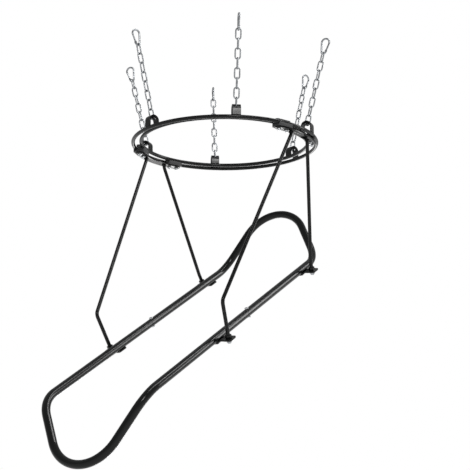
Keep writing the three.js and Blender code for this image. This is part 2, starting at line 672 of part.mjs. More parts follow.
// Dome nut under a lug's wing, with a blind hole for the stud
function footNut(side, along) {
  const { top, axis } = wingPlace(side, along);
  const seat = LUG_STRAP + SEAT_GAP;
  const bore = STUD_DIAMETER / 2 + SEAT_GAP;
  const dome = bore + FOOT_NUT_WALL;
  const body = straightBar(new THREE.Vector3(0, 0, -FOOT_NUT_HEIGHT), new THREE.Vector3(),
    acrossFlats(FOOT_NUT_WIDTH), 6);
  const cap = new THREE.SphereGeometry(dome, STUD_SIDES, 6).rotateX(Math.PI / 2)
    .translate(0, 0, -FOOT_NUT_HEIGHT);
  const hole = straightBar(new THREE.Vector3(0, 0, -FOOT_NUT_HEIGHT - STUD_ROOM),
    new THREE.Vector3(0, 0, OVERRUN), bore * 2, STUD_SIDES);
  const turn = new THREE.Quaternion().setFromUnitVectors(new THREE.Vector3(0, 0, 1), axis);
  const place = new THREE.Matrix4().compose(top.clone().addScaledVector(axis, -seat), turn,
    new THREE.Vector3(1, 1, 1));
  return cut(joined(body, cap), hole).applyMatrix4(place);
}

// Named mesh with a material of its own
function piece(name, geometry, finish) {
  const mesh = new THREE.Mesh(geometry, new THREE.MeshStandardMaterial(FINISHES[finish]));
  mesh.name = name;
  return mesh;
}

function ringTrack() {
  const track = new THREE.Group();
  track.position.z = trackHeight;
  track.add(piece('inner_ring', innerBar(), 'blackSteel'), piece('outer_ring', outerBar(), 'blackSteel'));
  const bracket = hangerBracket();
  for (let i = 0; i < HANGER_COUNT; i += 1) {
    const mesh = piece(`hanger_bracket_${i + 1}`, bracket, 'blackSteel');
    mesh.rotation.z = HANGER_START + i / HANGER_COUNT * Math.PI * 2;
    track.add(mesh);
  }
  return track;
}

// The six chains with their snap hooks, each tilted out to its eye on the rim
function hangers() {
  const all = new THREE.Group();
  const [chain, hook, gate] = [chainGeometry(), snapHook(), hookGate()];
  for (let i = 0; i < HANGER_COUNT; i += 1) {
    const spoke = new THREE.Group();
    spoke.rotation.z = HANGER_START + i / HANGER_COUNT * Math.PI * 2;
    const line = new THREE.Group();
    line.position.set(TRACK_RADIUS, 0, pinHeight);
    line.rotation.y = chainTilt;
    const body = piece(`snap_hook_${i + 1}`, hook, 'zinc');
    const latch = piece(`hook_gate_${i + 1}`, gate, 'zinc');
    body.position.z = hookFootAlong;
    latch.position.z = hookFootAlong;
    line.add(piece(`chain_${i + 1}`, chain, 'zinc'), body, latch);
    spoke.add(line);
    all.add(spoke);
  }
  return all;
}

const SIDES = [{ name: 'right', side: 1 }, { name: 'left', side: -1 }];
const ENDS = [{ name: 'front', way: -1 }, { name: 'rear', way: 1 }];

// Angle round the track of a place on the right carrier, or its mirror image on the left
const carrierAngle = (side, angle) => (side > 0 ? angle : Math.PI - angle);

// Everything on one carrier that rides on the rings
function carrier(name, side) {
  const group = new THREE.Group();
  group.position.z = trackHeight;
  const plate = carrierPlate();
  group.add(piece(`carrier_plate_${name}`, side > 0 ? plate : mirrored(plate), 'blackSteel'));
  for (const end of ENDS) {
    const angle = carrierAngle(side, end.way * SLIDER_ANGLE);
    const block = piece(`lower_block_${name}_${end.name}`, lowerBlock(angle), 'nylon');
    const shoe = piece(`guide_shoe_${name}_${end.name}`, guideShoe(angle), 'nylon');
    block.rotation.z = angle;
    shoe.rotation.z = angle;
    group.add(block, shoe);
  }
  boltPlaces.forEach((place, i) => {
    const angle = carrierAngle(side, place);
    const bolt = piece(`slider_bolt_${name}_${i + 1}`, sliderBolt(), 'zinc');
    bolt.position.set(Math.cos(angle) * TRACK_RADIUS, Math.sin(angle) * TRACK_RADIUS, 0);
    group.add(bolt);
  });
  return group;
}

function dropRods(name, side) {
  return [
    piece(`drop_rod_${name}_front`, dropRod(side, -ROD_TOP_ANGLE, -FRONT_LUG_REACH, FRONT_STUB),
      'blackSteel'),
    piece(`drop_rod_${name}_rear`, dropRod(side, ROD_TOP_ANGLE, REAR_LUG_REACH, REAR_STUB),
      'blackSteel'),
    piece(`foot_nut_${name}_front`, footNut(side, -FRONT_LUG_REACH), 'zinc'),
    piece(`foot_nut_${name}_rear`, footNut(side, REAR_LUG_REACH), 'zinc'),
    piece(`joint_screw_${name}`, jointScrew(side), 'zinc'),
  ];
}

const model = new THREE.Group();
model.add(ringTrack(), hangers());
for (const { name, side } of SIDES) {
  model.add(carrier(name, side), ...dropRods(name, side));
}
model.add(piece('chute_upper_half', chuteUpperHalf(), 'blackSteel'));
model.add(piece('chute_lower_half', chuteLowerHalf(), 'blackSteel'));

export default model;
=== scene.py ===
"""Basketball return: a double ring track hung on six chains, with a swivelling wire chute."""

import json
from math import asin, atan2, ceil, copysign, cos, pi, radians, sin, sqrt, tan, tau

import bmesh
import bpy
from bpy.props import FloatProperty, FloatVectorProperty, IntProperty, PointerProperty
from bpy.types import Operator, Panel, PropertyGroup
from mathutils import Matrix, Quaternion, Vector


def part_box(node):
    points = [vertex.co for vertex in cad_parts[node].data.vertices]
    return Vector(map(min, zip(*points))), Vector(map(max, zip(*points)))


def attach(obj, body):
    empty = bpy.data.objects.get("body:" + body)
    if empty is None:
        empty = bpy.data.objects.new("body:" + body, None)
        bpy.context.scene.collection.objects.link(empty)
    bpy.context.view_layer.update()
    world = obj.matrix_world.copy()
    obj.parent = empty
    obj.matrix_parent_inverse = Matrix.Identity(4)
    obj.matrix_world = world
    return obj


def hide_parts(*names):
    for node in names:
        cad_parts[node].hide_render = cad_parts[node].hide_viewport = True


bl_info = {
    "name": "Basketball Return",
    "version": (1, 0, 0),
    "blender": (4, 5, 0),
    "location": "3D View > Sidebar > Return",
    "description": "Builds a hanging basketball return with chains, snap hooks and a wire chute",
    "category": "Add Mesh",
}

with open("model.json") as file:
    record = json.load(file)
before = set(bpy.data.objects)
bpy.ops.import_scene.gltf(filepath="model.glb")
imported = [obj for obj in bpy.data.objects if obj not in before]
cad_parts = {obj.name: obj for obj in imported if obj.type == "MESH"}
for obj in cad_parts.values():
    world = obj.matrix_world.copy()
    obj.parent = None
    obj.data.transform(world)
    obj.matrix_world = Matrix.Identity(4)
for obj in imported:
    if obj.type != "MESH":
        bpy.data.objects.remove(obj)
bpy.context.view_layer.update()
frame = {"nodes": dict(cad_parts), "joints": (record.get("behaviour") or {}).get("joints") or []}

MM = 0.001
HEX = tau / 6
UP = Vector((0, 0, 1))
ACROSS = Vector((1, 0, 0))
AHEAD = Vector((0, 1, 0))
JOINTS = {j["name"]: Vector(j["pos_m"]) for j in frame["joints"] if "pos_m" in j}

# Track, read from the frame: both bars, their common height and their mean radius
INNER_LOW, INNER_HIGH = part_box("inner_ring")
OUTER_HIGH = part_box("outer_ring")[1]
BAR_DIAMETER = INNER_HIGH.z - INNER_LOW.z
INNER_RADIUS = INNER_HIGH.x - BAR_DIAMETER / 2
OUTER_RADIUS = OUTER_HIGH.x - BAR_DIAMETER / 2
INNER_HEIGHT = INNER_HIGH.z - BAR_DIAMETER / 2
OUTER_HEIGHT = OUTER_HIGH.z - BAR_DIAMETER / 2
TRACK_RADIUS = (INNER_RADIUS + OUTER_RADIUS) / 2
TRACK_HEIGHT = (INNER_HEIGHT + OUTER_HEIGHT) / 2

# Hangers, read from the joints: where chains swing, and how far out and up the hooks sit
HANGER_COUNT = 6
PIN_PLACE = JOINTS["chain_swing_1"]
HOOK_PLACE = JOINTS["hook_swing_1"]
PIN_RADIUS = PIN_PLACE.xy.length
HANGER_START = atan2(PIN_PLACE.y, PIN_PLACE.x)
CHAIN_TILT = atan2(HOOK_PLACE.xy.length - PIN_RADIUS, HOOK_PLACE.z - PIN_PLACE.z)
CHAIN_REACH = (HOOK_PLACE - PIN_PLACE).length

# Chain and its links
LINK_COUNT = 8
LINK_PITCH = 19.85 * MM
LINK_SEAT = 0.25 * MM
LINK_WIDTH = 13.5 * MM
LINK_TOP_WIRE = 1.5 * MM
LINK_WELD_SHARES = ((0.36, 1), (0.44, 1.1), (0.5, 1.16), (0.56, 1.1), (0.64, 1))

# Snap hook and its gate
HOOK_LENGTH = 38 * MM
HOOK_TOP_RADIUS = 8.5 * MM
HOOK_FOOT_RADIUS = 4.5 * MM
HOOK_SEAT = 0.3 * MM
HOOK_NECK_SHARE = 0.62
HOOK_END_SHARES = (0.8, 0.85)
HOOK_END_TAPERS = (0.2 * MM, 0.15 * MM)
GATE_DIAMETER = 3.4 * MM
GATE_PIVOT_RISE = 2.6 * MM
GATE_NOSE_GAP = 0.4 * MM
GATE_CHEEK = 1 * MM
GATE_CHEEK_RADIUS = 2.1 * MM
GATE_END_CHAMFER = 0.35 * MM
FORK_SHARE = 0.95
FORK_TAPER = 0.8
TANG_THICKNESS = 1.8 * MM
TANG_FOOT_SHARE = 0.2
TANG_WIDTH_SHARE = 0.86
TANG_END_SHARE = 0.95
DISC_SIDES = 24
RIVET_DIAMETER = 1.8 * MM
RIVET_HEAD_SHARE = 1.3
RIVET_DOME = 0.35 * MM

# Hanger bracket
BRACKET_LENGTH = 17.5 * MM
BRACKET_STRAP = 3 * MM
BRACKET_RISE = 26.7 * MM
BRACKET_SLOT_LENGTH = 18 * MM
BRACKET_SLOT_WIDTH = 3.9 * MM
SLOT_FOOT_DROP = 3 * MM
FOOT_SEAT_SHARE = 0.86
ARCH_STEPS = 24
PIN_DIAMETER = 4 * MM

# Edges and weld beads, whose ripple goes by steps along the bead
EDGE_ROUNDING = 0.5 * MM
EDGE_STEPS = 3
STRAP_EDGE_ANGLE = radians(50)
FRAME_EDGE_ANGLE = radians(40)
WELD_REACH = 0.01 * MM
END_CHAMFER = 0.2 * MM
BEAD_RADIUS = 1.3 * MM
BEAD_SIDES = 8
STRAP_BEAD_SHARE = 0.7
ROD_BEAD_SHARE = 0.8
ROD_BEAD_DROP_SHARE = 0.6
ROD_BEAD_REACH = 0.4 * MM
RING_BEAD = {"ripple": 0.12, "pace": 1.3}
SEAM_BEAD = {"end": 0.35, "middle": 1, "ripple": 0.14, "pace": 1.9}
LUG_BEAD = {"end": 0.4, "middle": 0.9, "ripple": 0.12, "pace": 2.1}
SEAM_STEPS = 24
LUG_BEAD_STEPS = 12
LUG_BEAD_SPREAD = radians(80)
LUG_BEAD_SHIFT = 0.3

# Sliders, their bolts and the plate under them. Profiles are pairs of radius and height, or depth in a head, in
# millimetres
SLIDER_ANGLE = radians(18.5)
BOLT_SPACING = 20 * MM
BOLT_DIAMETER = 5 * MM
BOLT_HEAD_HEIGHT = 2.4 * MM
BOLT_HEAD_PROFILE = ((2.25, 2.4), (2.5, 2.4), (4.2, 0.3), (4.158, 0.1), (3.99, 0), (1.86, 0))
BOLT_SOCKET_WIDTH = 3 * MM
BOLT_SOCKET_DEPTH = 1.4 * MM
BOLT_SOCKET_FLOOR = 0.4 * MM
BOLT_NUT_WIDTH = 8 * MM
BOLT_NUT_HEIGHT = 4 * MM
BOLT_TIP = 1.6 * MM
BOLT_SINK = 0.05 * MM
COLLAR_SHARE = 0.3
COLLAR_PROFILE = ((2.5, 0), (3.36, 0.15), (3.76, 1), (3.84, 1.4), (2.5, 1.4))
NUT_FLAT_SHARE = 0.98
NUT_RIM_SHARE = 0.96
SEAT = 0.3 * MM
SHOE_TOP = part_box("guide_shoe_right_front")[1].z
PLATE_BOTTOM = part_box("carrier_plate_right")[0].z

# Chute
RAIL_SPACING = 235.4 * MM
CHUTE_SLOPE = radians(29.4)
CHUTE_DROP = 340.2 * MM
LOWER_RAIL_REACH = 500 * MM
UPPER_RAIL_REACH = 213.5 * MM
JOINT_REACH = 120.8 * MM
END_BEND = radians(44)
END_LEG_ANGLE = radians(28.85)
END_BEND_RADIUS = 74 * MM
END_TIP_RADIUS = 81.5 * MM
SCREW_INSET = 9 * MM
SCREW_DIAMETER = 4 * MM
SCREW_HEAD_PROFILE = (
    (2, 0), (3.84, 0), (4, 0.2), (4, 0.88), (3.68, 1.65), (2.8, 2.1), (1.8, 2.2), (0.6, 1.4), (0.1, 1))
SCREW_SINK = 0.3 * MM
SCREW_NUT_WIDTH = 7 * MM
SCREW_NUT_HEIGHT = 2.6 * MM
SPIGOT_DIAMETER = 12.8 * MM
SPIGOT_LENGTH = 36 * MM
SPIGOT_CHAMFER = 0.8 * MM
TUBE_WALL = 1.5 * MM
TUBE_EDGE = 0.35 * MM
TUBE_MOUTH = 12 * MM
FINE_STEP = 0.1 * MM

# Drop rods and the lugs that they are bolted to
ROD_TOP_ANGLE = radians(10.4)
ROD_TOP_INSET = 1.5 * MM
ROD_TOP_STUB = 5 * MM
ROD_BEND_RADIUS = 14 * MM
FRONT_LUG_REACH = 238 * MM
REAR_LUG_REACH = 143.4 * MM
FRONT_STUB = 76.5 * MM
REAR_STUB = 20 * MM
LUG_STRAP = 3 * MM
LUG_WIDTH = 26 * MM
LUG_INSIDE_REACH = 6 * MM
LUG_UNDER_REACH = 5 * MM
LUG_HOLE_REACH = 24 * MM
LUG_END_REACH = 10 * MM
LUG_WING_DROP = 4.5 * MM
LUG_TILT = radians(7)
LUG_CORNER = 4 * MM
LUG_INNER_CORNER = 1.5 * MM
LUG_BITE = 0.25 * MM
LUG_EDGE_SHARE = 0.7
LUG_EDGE_LIMIT = 0.4
LUG_BEND_RADIUS = 4 * MM
LUG_BEND_STEP = radians(6)
LUG_STEP = 1.2 * MM
STUD_DIAMETER = 6 * MM
COLLAR_WIDTH = 11 * MM
COLLAR_HEIGHT = 6.5 * MM
FOOT_NUT_WIDTH = 10 * MM
FOOT_NUT_HEIGHT = 4 * MM
FOOT_NUT_DOME = 4.7 * MM
DOME_OVERLAP = 0.3 * MM
DOME_TIP = 0.05 * MM
DOME_STEPS = 12

# Grain of each finish, from the real thing's own scale
COAT_PEEL = 2.2 * MM
COAT_DUST = 18 * MM
PLATING_GRAIN = 0.9 * MM
PLATING_CLOUD = 7 * MM
NYLON_GRAIN = 0.7 * MM
NYLON_MILLING = 1.6 * MM
WAVE_BANDS = 20
NOISE_RANGE = (0.3, 0.7)

# Smoothness of the visible meshes
TUBE_SIDES = 32
BAR_SIDES = 24
WIRE_SIDES = 16
RING_STEPS = 192
BEND_STEP = radians(4)
WIRE_STEP = radians(15)
ROUND_SIDES = 48
SMOOTH_ANGLE = radians(38)

# Stage: glow lifts the floor to white, shade and dim are the world's strengths beside the white at the horizon
FLOOR_REACH = 30.0
FLOOR_GLOW = 0.4
FLOOR_CLOUD = 0.4
HORIZON_FROM, HORIZON_TO = 0.02, 0.28
SKY_SHADE = 0.2
SKY_DIM = 0.5

# Softboxes by their offset from what they aim at, size and power: a strip overhead for the rods' sheen and the loop's
# inner line, one in front on the right for the brackets' faces, a tall one behind on the right for the rails' long
# highlights, and a low one for the undersides
LAMP_AIM_DROP = 0.25
LAMPS = {
    "key": ((2.0, 0.1, 3.4), (3.8, 0.45), 80),
    "fill": ((3.75, -3.75, 2.4), (1.1, 1.1), 84),
    "rim": ((3.65, 3.98, 2.5), (1.0, 3.2), 96),
    "under": ((-1.35, 2.2, -0.78), (0.6, 0.6), 6),
}

# Camera
SENSOR_WIDTH = 36
CLIP_END = 50

SIDES = (("right", 1), ("left", -1))
ENDS = ("front", "rear")


def linear(code):
    """Linear colour of an sRGB hex value such as #b4b8bb."""
    parts = [int(code[i:i + 2], 16) / 255 for i in (1, 3, 5)]
    return [c / 12.92 if c <= 0.04045 else ((c + 0.055) / 1.055) ** 2.4 for c in parts]


def gauge(name, description, default, low, high):
    """Diameter that the user sets, in millimetres."""
    return FloatProperty(name=name, description=description, default=default * MM, min=low * MM, max=high * MM,
                         subtype="DISTANCE", unit="LENGTH")


def paint(name, description, code):
    """Colour that starts at an sRGB hex value."""
    return FloatVectorProperty(name=name, description=description, default=linear(code), size=3,
                               subtype="COLOR", min=0, max=1)


def bearing(name, description, degrees):
    """Angle that the user sets, in degrees."""
    return FloatProperty(name=name, description=description, default=radians(degrees),
                         subtype="ANGLE", unit="ROTATION")


class ReturnSizes(PropertyGroup):
    """Sizes of wire and tube that a user would change"""

    tube: gauge("Chute tube", "Outside diameter of the chute's tube", 16.4, 8, 30)
    rod: gauge("Drop rod", "Diameter of the rods that hold the chute", 7.5, 4, 14)
    link_wire: gauge("Link wire", "Wire of the chain's links", 3, 1, 5)
    hook_wire: gauge("Hook wire", "Wire of the snap hooks", 4, 2, 6)
    link_count: IntProperty(name="Links", description="Links in each chain", default=LINK_COUNT, min=2, max=20)


class ReturnFinish(PropertyGroup):
    """Colours of the finishes"""

    powder_coat: paint("Powder coat", "Black coat on rings, rods and chute", "#0a0b0b")
    zinc: paint("Zinc", "Zinc plating on chains, hooks and dome nuts", "#a4a7aa")
    fastener: paint("Fasteners", "Zinc plating on bolts and screws", "#cfd1d3")
    nylon: paint("Nylon", "Black nylon of the slider blocks", "#1a1a1b")


class ReturnStage(PropertyGroup):
    """Camera, floor and light"""

    camera_place: FloatVectorProperty(
        name="Camera", description="Camera's place, measured from the middle of the track",
        default=(1.4772, -2.2934, -0.8126), size=3, subtype="TRANSLATION", unit="LENGTH")
    azimuth: bearing("Azimuth", "Way the camera looks, from +Y towards -X", 32.32)
    pitch: bearing("Pitch", "How far up the camera looks", 12.58)
    lens: FloatProperty(
        name="Lens", description="Focal length in millimetres on a 36 mm sensor",
        default=100, min=20, max=300, subtype="DISTANCE_CAMERA")
    floor_drop: FloatProperty(
        name="Floor", description="How far the floor lies under the track",
        default=1.7, min=0.6, max=4, subtype="DISTANCE", unit="LENGTH")
    floor_colour: paint("Floor colour", "Colour of floor and backdrop", "#f4f4f4")


# Shapes are pairs of points and faces, so that several can make up one mesh

def turns(count):
    """Angles round a full turn."""
    return [tau * i / count for i in range(count)]


def flat_way(angle):
    """Way at an angle in XY."""
    return Vector((cos(angle), sin(angle), 0))


def side_way(angle):
    """Way at an angle in XZ."""
    return Vector((cos(angle), 0, sin(angle)))


def circle(radius, height, sides=ROUND_SIDES):
    """Ring of points about Z."""
    return [Vector((cos(a) * radius, sin(a) * radius, height)) for a in turns(sides)]


def round_stations(radius, height, steps):
    """Points and directions round a circle about Z."""
    return [(p, Vector((-sin(a), cos(a), 0))) for p, a in zip(circle(radius, height, steps), turns(steps))]


def merged(*shapes):
    """One shape out of several."""
    points, faces = [], []
    for some_points, some_faces in shapes:
        start = len(points)
        points += some_points
        faces += [[start + i for i in face] for face in some_faces]
    return points, faces


def moved(shape, matrix):
    """The shape under a transform."""
    points, faces = shape
    if matrix.determinant() < 0:
        faces = [face[::-1] for face in faces]
    return [matrix @ p for p in points], faces


def skinned(rings, closed=False):
    """Faces between rings of points. Open ends get a cap."""
    count = len(rings[0])
    points = [p for ring in rings for p in ring]
    pairs = [(i, i + 1) for i in range(len(rings) - 1)]
    if closed:
        pairs.append((len(rings) - 1, 0))
    faces = [
        [a * count + i, a * count + (i + 1) % count, b * count + (i + 1) % count, b * count + i]
        for a, b in pairs for i in range(count)
    ]
    if not closed:
        faces.append(list(range(count))[::-1])
        faces.append([len(points) - count + i for i in range(count)])
    return points, faces


def way(start, end):
    return (end - start).normalized()


def bent_stations(corners, radii, step):
    """Points and directions along a bar whose corners are bent to the given radii."""
    stations = [(corners[0], way(corners[0], corners[1]))]
    for before, corner, after, radius in zip(corners, corners[1:], corners[2:], radii):
        into, out = way(before, corner), way(corner, after)
        turn = into.angle(out)
        axis = into.cross(out).normalized()
        inward = axis.cross(into) * radius
        centre = corner - into * (radius * tan(turn / 2)) + inward
        steps = max(4, ceil(turn / step))
        for i in range(steps + 1):
            rotation = Quaternion(axis, turn * i / steps)
            stations.append((centre - rotation @ inward, rotation @ into))
    stations.append((corners[-1], way(corners[-2], corners[-1])))
    return stations


def swept(stations, radius, sides, closed=False):
    """Round bar along stations. The radius is one number or one for each station."""
    radii = radius if isinstance(radius, list) else [radius] * len(stations)
    normal = stations[0][1].orthogonal().normalized()
    rings = []
    for (point, tangent), size in zip(stations, radii):
        normal = (normal - tangent * normal.dot(tangent)).normalized()
        side = tangent.cross(normal)
        rings.append([point + (normal * cos(a) + side * sin(a)) * size for a in turns(sides)])
    return skinned(rings, closed)


def straight(start, end, diameter, sides=WIRE_SIDES, chamfer=END_CHAMFER):
    """Straight bar with chamfered ends."""
    along, radius = way(start, end), diameter / 2
    places = [start, start + along * chamfer, end - along * chamfer, end]
    return swept([(p, along) for p in places], [radius - chamfer, radius, radius, radius - chamfer], sides)


def turned(profile):
    """Shape turned about Z from pairs of radius and height, which start and end off the axis."""
    return skinned([circle(radius, height) for radius, height in profile])


def in_millimetres(profile, height):
    """Profile in metres, lifted to a height."""
    return [(radius * MM, height + rise * MM) for radius, rise in profile]


def hex_reach(width, angle):
    """How far a hexagon of that width across its flats reaches at an angle."""
    return width / 2 / cos((angle + HEX / 2) % HEX - HEX / 2)


def hex_ring(width, height, slope=0.0):
    """Ring of points round a hexagon, whose corners rise or fall by the slope from its flats."""
    flat = width / 2 * NUT_FLAT_SHARE
    reaches = [(a, hex_reach(width, a)) for a in turns(ROUND_SIDES)]
    return [flat_way(a) * reach + UP * (height + (reach - flat) * slope) for a, reach in reaches]


def hex_nut(width, low, high):
    """Hexagon about Z whose corners are turned off at 30 degrees."""
    slope = tan(HEX / 2)
    flat = width / 2 * NUT_FLAT_SHARE
    rim = flat * NUT_RIM_SHARE
    return skinned([circle(rim, low), circle(flat, low), hex_ring(width, low, slope),
                    hex_ring(width, high, -slope), circle(flat, high), circle(rim, high)])


def bead_radii(size, steps, end, middle, ripple, pace):
    """Radii along an open bead, which ripple with its passes and taper to both ends."""
    return [size * (end if i in (0, steps) else middle + ripple * sin(i * pace)) for i in range(steps + 1)]


def ring_bead(radius, size):
    """Weld bead round a bar about Z, with the ripple of its passes."""
    steps = ROUND_SIDES * 2
    radii = [size * (1 + RING_BEAD["ripple"] * sin(i * RING_BEAD["pace"])) for i in range(steps)]
    return swept(round_stations(radius, 0, steps), radii, BEAD_SIDES, closed=True)


def straight_bead(start, end, size):
    """Weld bead along a seam."""
    along = way(start, end)
    stations = [(start.lerp(end, i / SEAM_STEPS), along) for i in range(SEAM_STEPS + 1)]
    return swept(stations, bead_radii(size, SEAM_STEPS, **SEAM_BEAD), BEAD_SIDES + 2)


def upright(place, axis):
    """Transform that stands Z along an axis at a place."""
    return Matrix.Translation(place) @ UP.rotation_difference(axis).to_matrix().to_4x4()


def add_piece(name, shape, finish, body, nodes, place=None):
    """Makes the mesh object, gives it its finish, and lets it stand for its nodes."""
    mesh = bpy.data.meshes.new(name)
    points, faces = shape if place is None else moved(shape, place)
    mesh.from_pydata([tuple(p) for p in points], [], faces)
    build = bmesh.new()
    build.from_mesh(mesh)
    bmesh.ops.recalc_face_normals(build, faces=build.faces)
    build.to_mesh(mesh)
    build.free()
    mesh.shade_smooth()
    mesh.set_sharp_from_angle(angle=SMOOTH_ANGLE)
    piece = bpy.data.objects.new(name, mesh)
    bpy.context.scene.collection.objects.link(piece)
    dress(piece, finish)
    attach(piece, body)
    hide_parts(*nodes)
    return piece


def dress(piece, finish):
    """Gives a piece its material, which is made once and then shared."""
    slot, make = FINISHES[finish]
    if finish not in MADE:
        MADE[finish] = make()
    piece.data.materials.clear()
    piece.data.materials.append(MADE[finish])


def round_edges(piece, angle):
    """Breaks the edges that turn by more than an angle."""
    bevel = piece.modifiers.new("edges", "BEVEL")
    bevel.limit_method = "ANGLE"
    bevel.angle_limit = angle
    bevel.width = EDGE_ROUNDING
    bevel.segments = EDGE_STEPS


def dress_frame_part(name, finish):
    """Gives a part of the frame, which keeps its own mesh, rounded edges and its finish."""
    piece = frame["nodes"][name]
    piece.modifiers.new("weld", "WELD").merge_threshold = WELD_REACH
    round_edges(piece, FRAME_EDGE_ANGLE)
    piece.data.shade_smooth()
    piece.data.set_sharp_from_angle(angle=SMOOTH_ANGLE)
    dress(piece, finish)


# Materials

def feed(tree, node, **links):
    """Links outputs into a node's inputs, named with _ for a space."""
    for key, output in links.items():
        tree.links.new(output, node.inputs[key.replace("_", " ")])


def add_node(tree, kind, settings=None, **links):
    """Adds a node, sets what settings names, and links the given sockets into it."""
    node = tree.nodes.new(kind)
    for key, value in (settings or {}).items():
        if hasattr(node, key):
            setattr(node, key, value)
        else:
            node.inputs[key].default_value = value
    feed(tree, node, **links)
    return node


def maths(tree, operation, first, second=None):
    """Result of a math node. Its second input is a socket or a number."""
    node = add_node(tree, "ShaderNodeMath", {"operation": operation})
    tree.links.new(first, node.inputs[0])
    if isinstance(second, bpy.types.NodeSocket):
        tree.links.new(second, node.inputs[1])
    elif second is not None:
        node.inputs[1].default_value = second
    return node.outputs["Value"]


def relief(tree, height, strength, depth, **under):
    """Normal of a fine relief, over another one if it is given."""
    settings = {"Strength": strength, "Distance": depth}
    return add_node(tree, "ShaderNodeBump", settings, Height=height, **under).outputs["Normal"]


def new_material(name):
    """Empty node material with its shader, and the object's coordinates in metres."""
    material = bpy.data.materials.new(name)
    material.use_nodes = True
    tree = material.node_tree
    shader = tree.nodes["Principled BSDF"]
    place = add_node(tree, "ShaderNodeTexCoord").outputs["Object"]
    return material, tree, shader, place


def noise(tree, place, size, detail=2.0):
    """Noise whose blotches are about as wide as the given size."""
    node = add_node(tree, "ShaderNodeTexNoise", {"Scale": 1 / size, "Detail": detail}, Vector=place)
    return node.outputs["Fac"]


def spread(tree, value, low, high):
    """Maps a share from noise onto a range."""
    settings = {"From Min": NOISE_RANGE[0], "From Max": NOISE_RANGE[1], "To Min": low, "To Max": high}
    return add_node(tree, "ShaderNodeMapRange", settings, Value=value).outputs["Result"]


def tint(tree, share, colour, other):
    """Colour between two colours by a share."""
    ramp = add_node(tree, "ShaderNodeValToRGB", None, Fac=share)
    for element, position, value in zip(ramp.color_ramp.elements, NOISE_RANGE, (colour, other)):
        element.position, element.color = position, (*value, 1)
    return ramp.outputs["Color"]


def lighter(colour, factor):
    return [min(1, c * factor) for c in colour]


def black_painted_steel():
    """Gloss black powder coat, sprayed and baked: deep black with a soft, slightly rippled shine."""
    colour = list(bpy.context.scene.return_finish.powder_coat)
    material, tree, shader, place = new_material("gloss_black_powder_coat")
    dust = noise(tree, place, COAT_DUST, 4)
    feed(tree, shader, Base_Color=tint(tree, dust, colour, lighter(colour, 1.5)),
         Roughness=spread(tree, dust, 0.12, 0.2),
         Normal=relief(tree, noise(tree, place, COAT_PEEL), 0.05, 0.1 * MM))
    shader.inputs["Metallic"].default_value = 0
    shader.inputs["Specular IOR Level"].default_value = 0.18
    return material


def plating(name, colour, dark, rough):
    """Plated steel: metal whose wear clouds it between two tones."""
    material, tree, shader, place = new_material(name)
    cloud = noise(tree, place, PLATING_CLOUD, 3)
    feed(tree, shader, Base_Color=tint(tree, cloud, lighter(colour, dark), colour),
         Roughness=spread(tree, cloud, *rough),
         Normal=relief(tree, noise(tree, place, PLATING_GRAIN), 0.15, 0.05 * MM))
    shader.inputs["Metallic"].default_value = 1
    return material


def zinc_plated_steel():
    """Bright zinc plating on drawn wire: cool grey metal, tumbled until it has a cloudy shine."""
    return plating("bright_zinc_plating", list(bpy.context.scene.return_finish.zinc), 0.5, (0.16, 0.3))


def zinc_plated_fastener():
    """Pale, smooth zinc on turned bolts and screws, which catches the light as white spots under the black."""
    return plating("pale_zinc_fastener", list(bpy.context.scene.return_finish.fastener), 0.6, (0.18, 0.28))


def black_nylon():
    """Black nylon blocks, sawn and milled: satin, a little greyer than the coat, with fine cutter lines."""
    colour = list(bpy.context.scene.return_finish.nylon)
    material, tree, shader, place = new_material("milled_black_nylon")
    grain = noise(tree, place, NYLON_GRAIN, 3)
    milling = add_node(tree, "ShaderNodeTexWave", {
        "Scale": 1 / (NYLON_MILLING * WAVE_BANDS), "Distortion": 1.5, "Detail": 2, "bands_direction": "DIAGONAL",
    }, Vector=place)
    lines = relief(tree, milling.outputs["Fac"], 0.2, 0.1 * MM)
    feed(tree, shader, Base_Color=tint(tree, grain, colour, lighter(colour, 1.7)),
         Roughness=spread(tree, grain, 0.42, 0.56), Normal=relief(tree, grain, 0.2, 0.05 * MM, Normal=lines))
    shader.inputs["IOR"].default_value = 1.53
    return material


COAT, ZINC, FASTENER, NYLON = "black_painted_steel", "zinc_plated_steel", "zinc_plated_fastener", "black_nylon"
MADE = {}
FINISHES = {
    COAT: ("black_painted_steel", black_painted_steel),
    ZINC: ("zinc_plated_steel", zinc_plated_steel),
    FASTENER: ("zinc_plated_steel", zinc_plated_fastener),
    NYLON: ("black_nylon", black_nylon),
}


# Track and hangers

def round_ring(radius, height, diameter):
    """Ring of bar, rolled and butt welded."""
    return swept(round_stations(radius, height, RING_STEPS), diameter / 2, BAR_SIDES, closed=True)


def spoke(index):
    """Frame of one hanger: X outward, Z up, at the height of the track."""
    angle = HANGER_START + tau * index / HANGER_COUNT
    return Matrix.Rotation(angle, 4, "Z") @ Matrix.Translation((PIN_RADIUS, 0, TRACK_HEIGHT))


def chain_line(index):
    """Frame of one chain: Z runs up the chain from its crown pin, X outward."""
    lift = Matrix.Translation((0, 0, PIN_PLACE.z - TRACK_HEIGHT))
    return spoke(index) @ lift @ Matrix.Rotation(CHAIN_TILT, 4, "Y")


def arch_profile():
    """Middle line of the bent strap from foot to foot, with the way that faces out of it."""
    half = (OUTER_RADIUS - INNER_RADIUS + BRACKET_STRAP) / 2
    centre = BRACKET_RISE - half - BRACKET_STRAP / 2
    foot_rise = BAR_DIAMETER / 2 * FOOT_SEAT_SHARE
    outer, inner = (height - TRACK_HEIGHT + foot_rise for height in (OUTER_HEIGHT, INNER_HEIGHT))
    line = [(Vector((half, 0, z)), ACROSS) for z in (outer, (outer + centre) / 2, centre)]
    for i in range(1, ARCH_STEPS):
        out = side_way(pi * i / ARCH_STEPS)
        line.append((out * half + UP * centre, out))
    line += [(Vector((-half, 0, z)), -ACROSS) for z in (centre, (inner + centre) / 2, inner)]
    return line


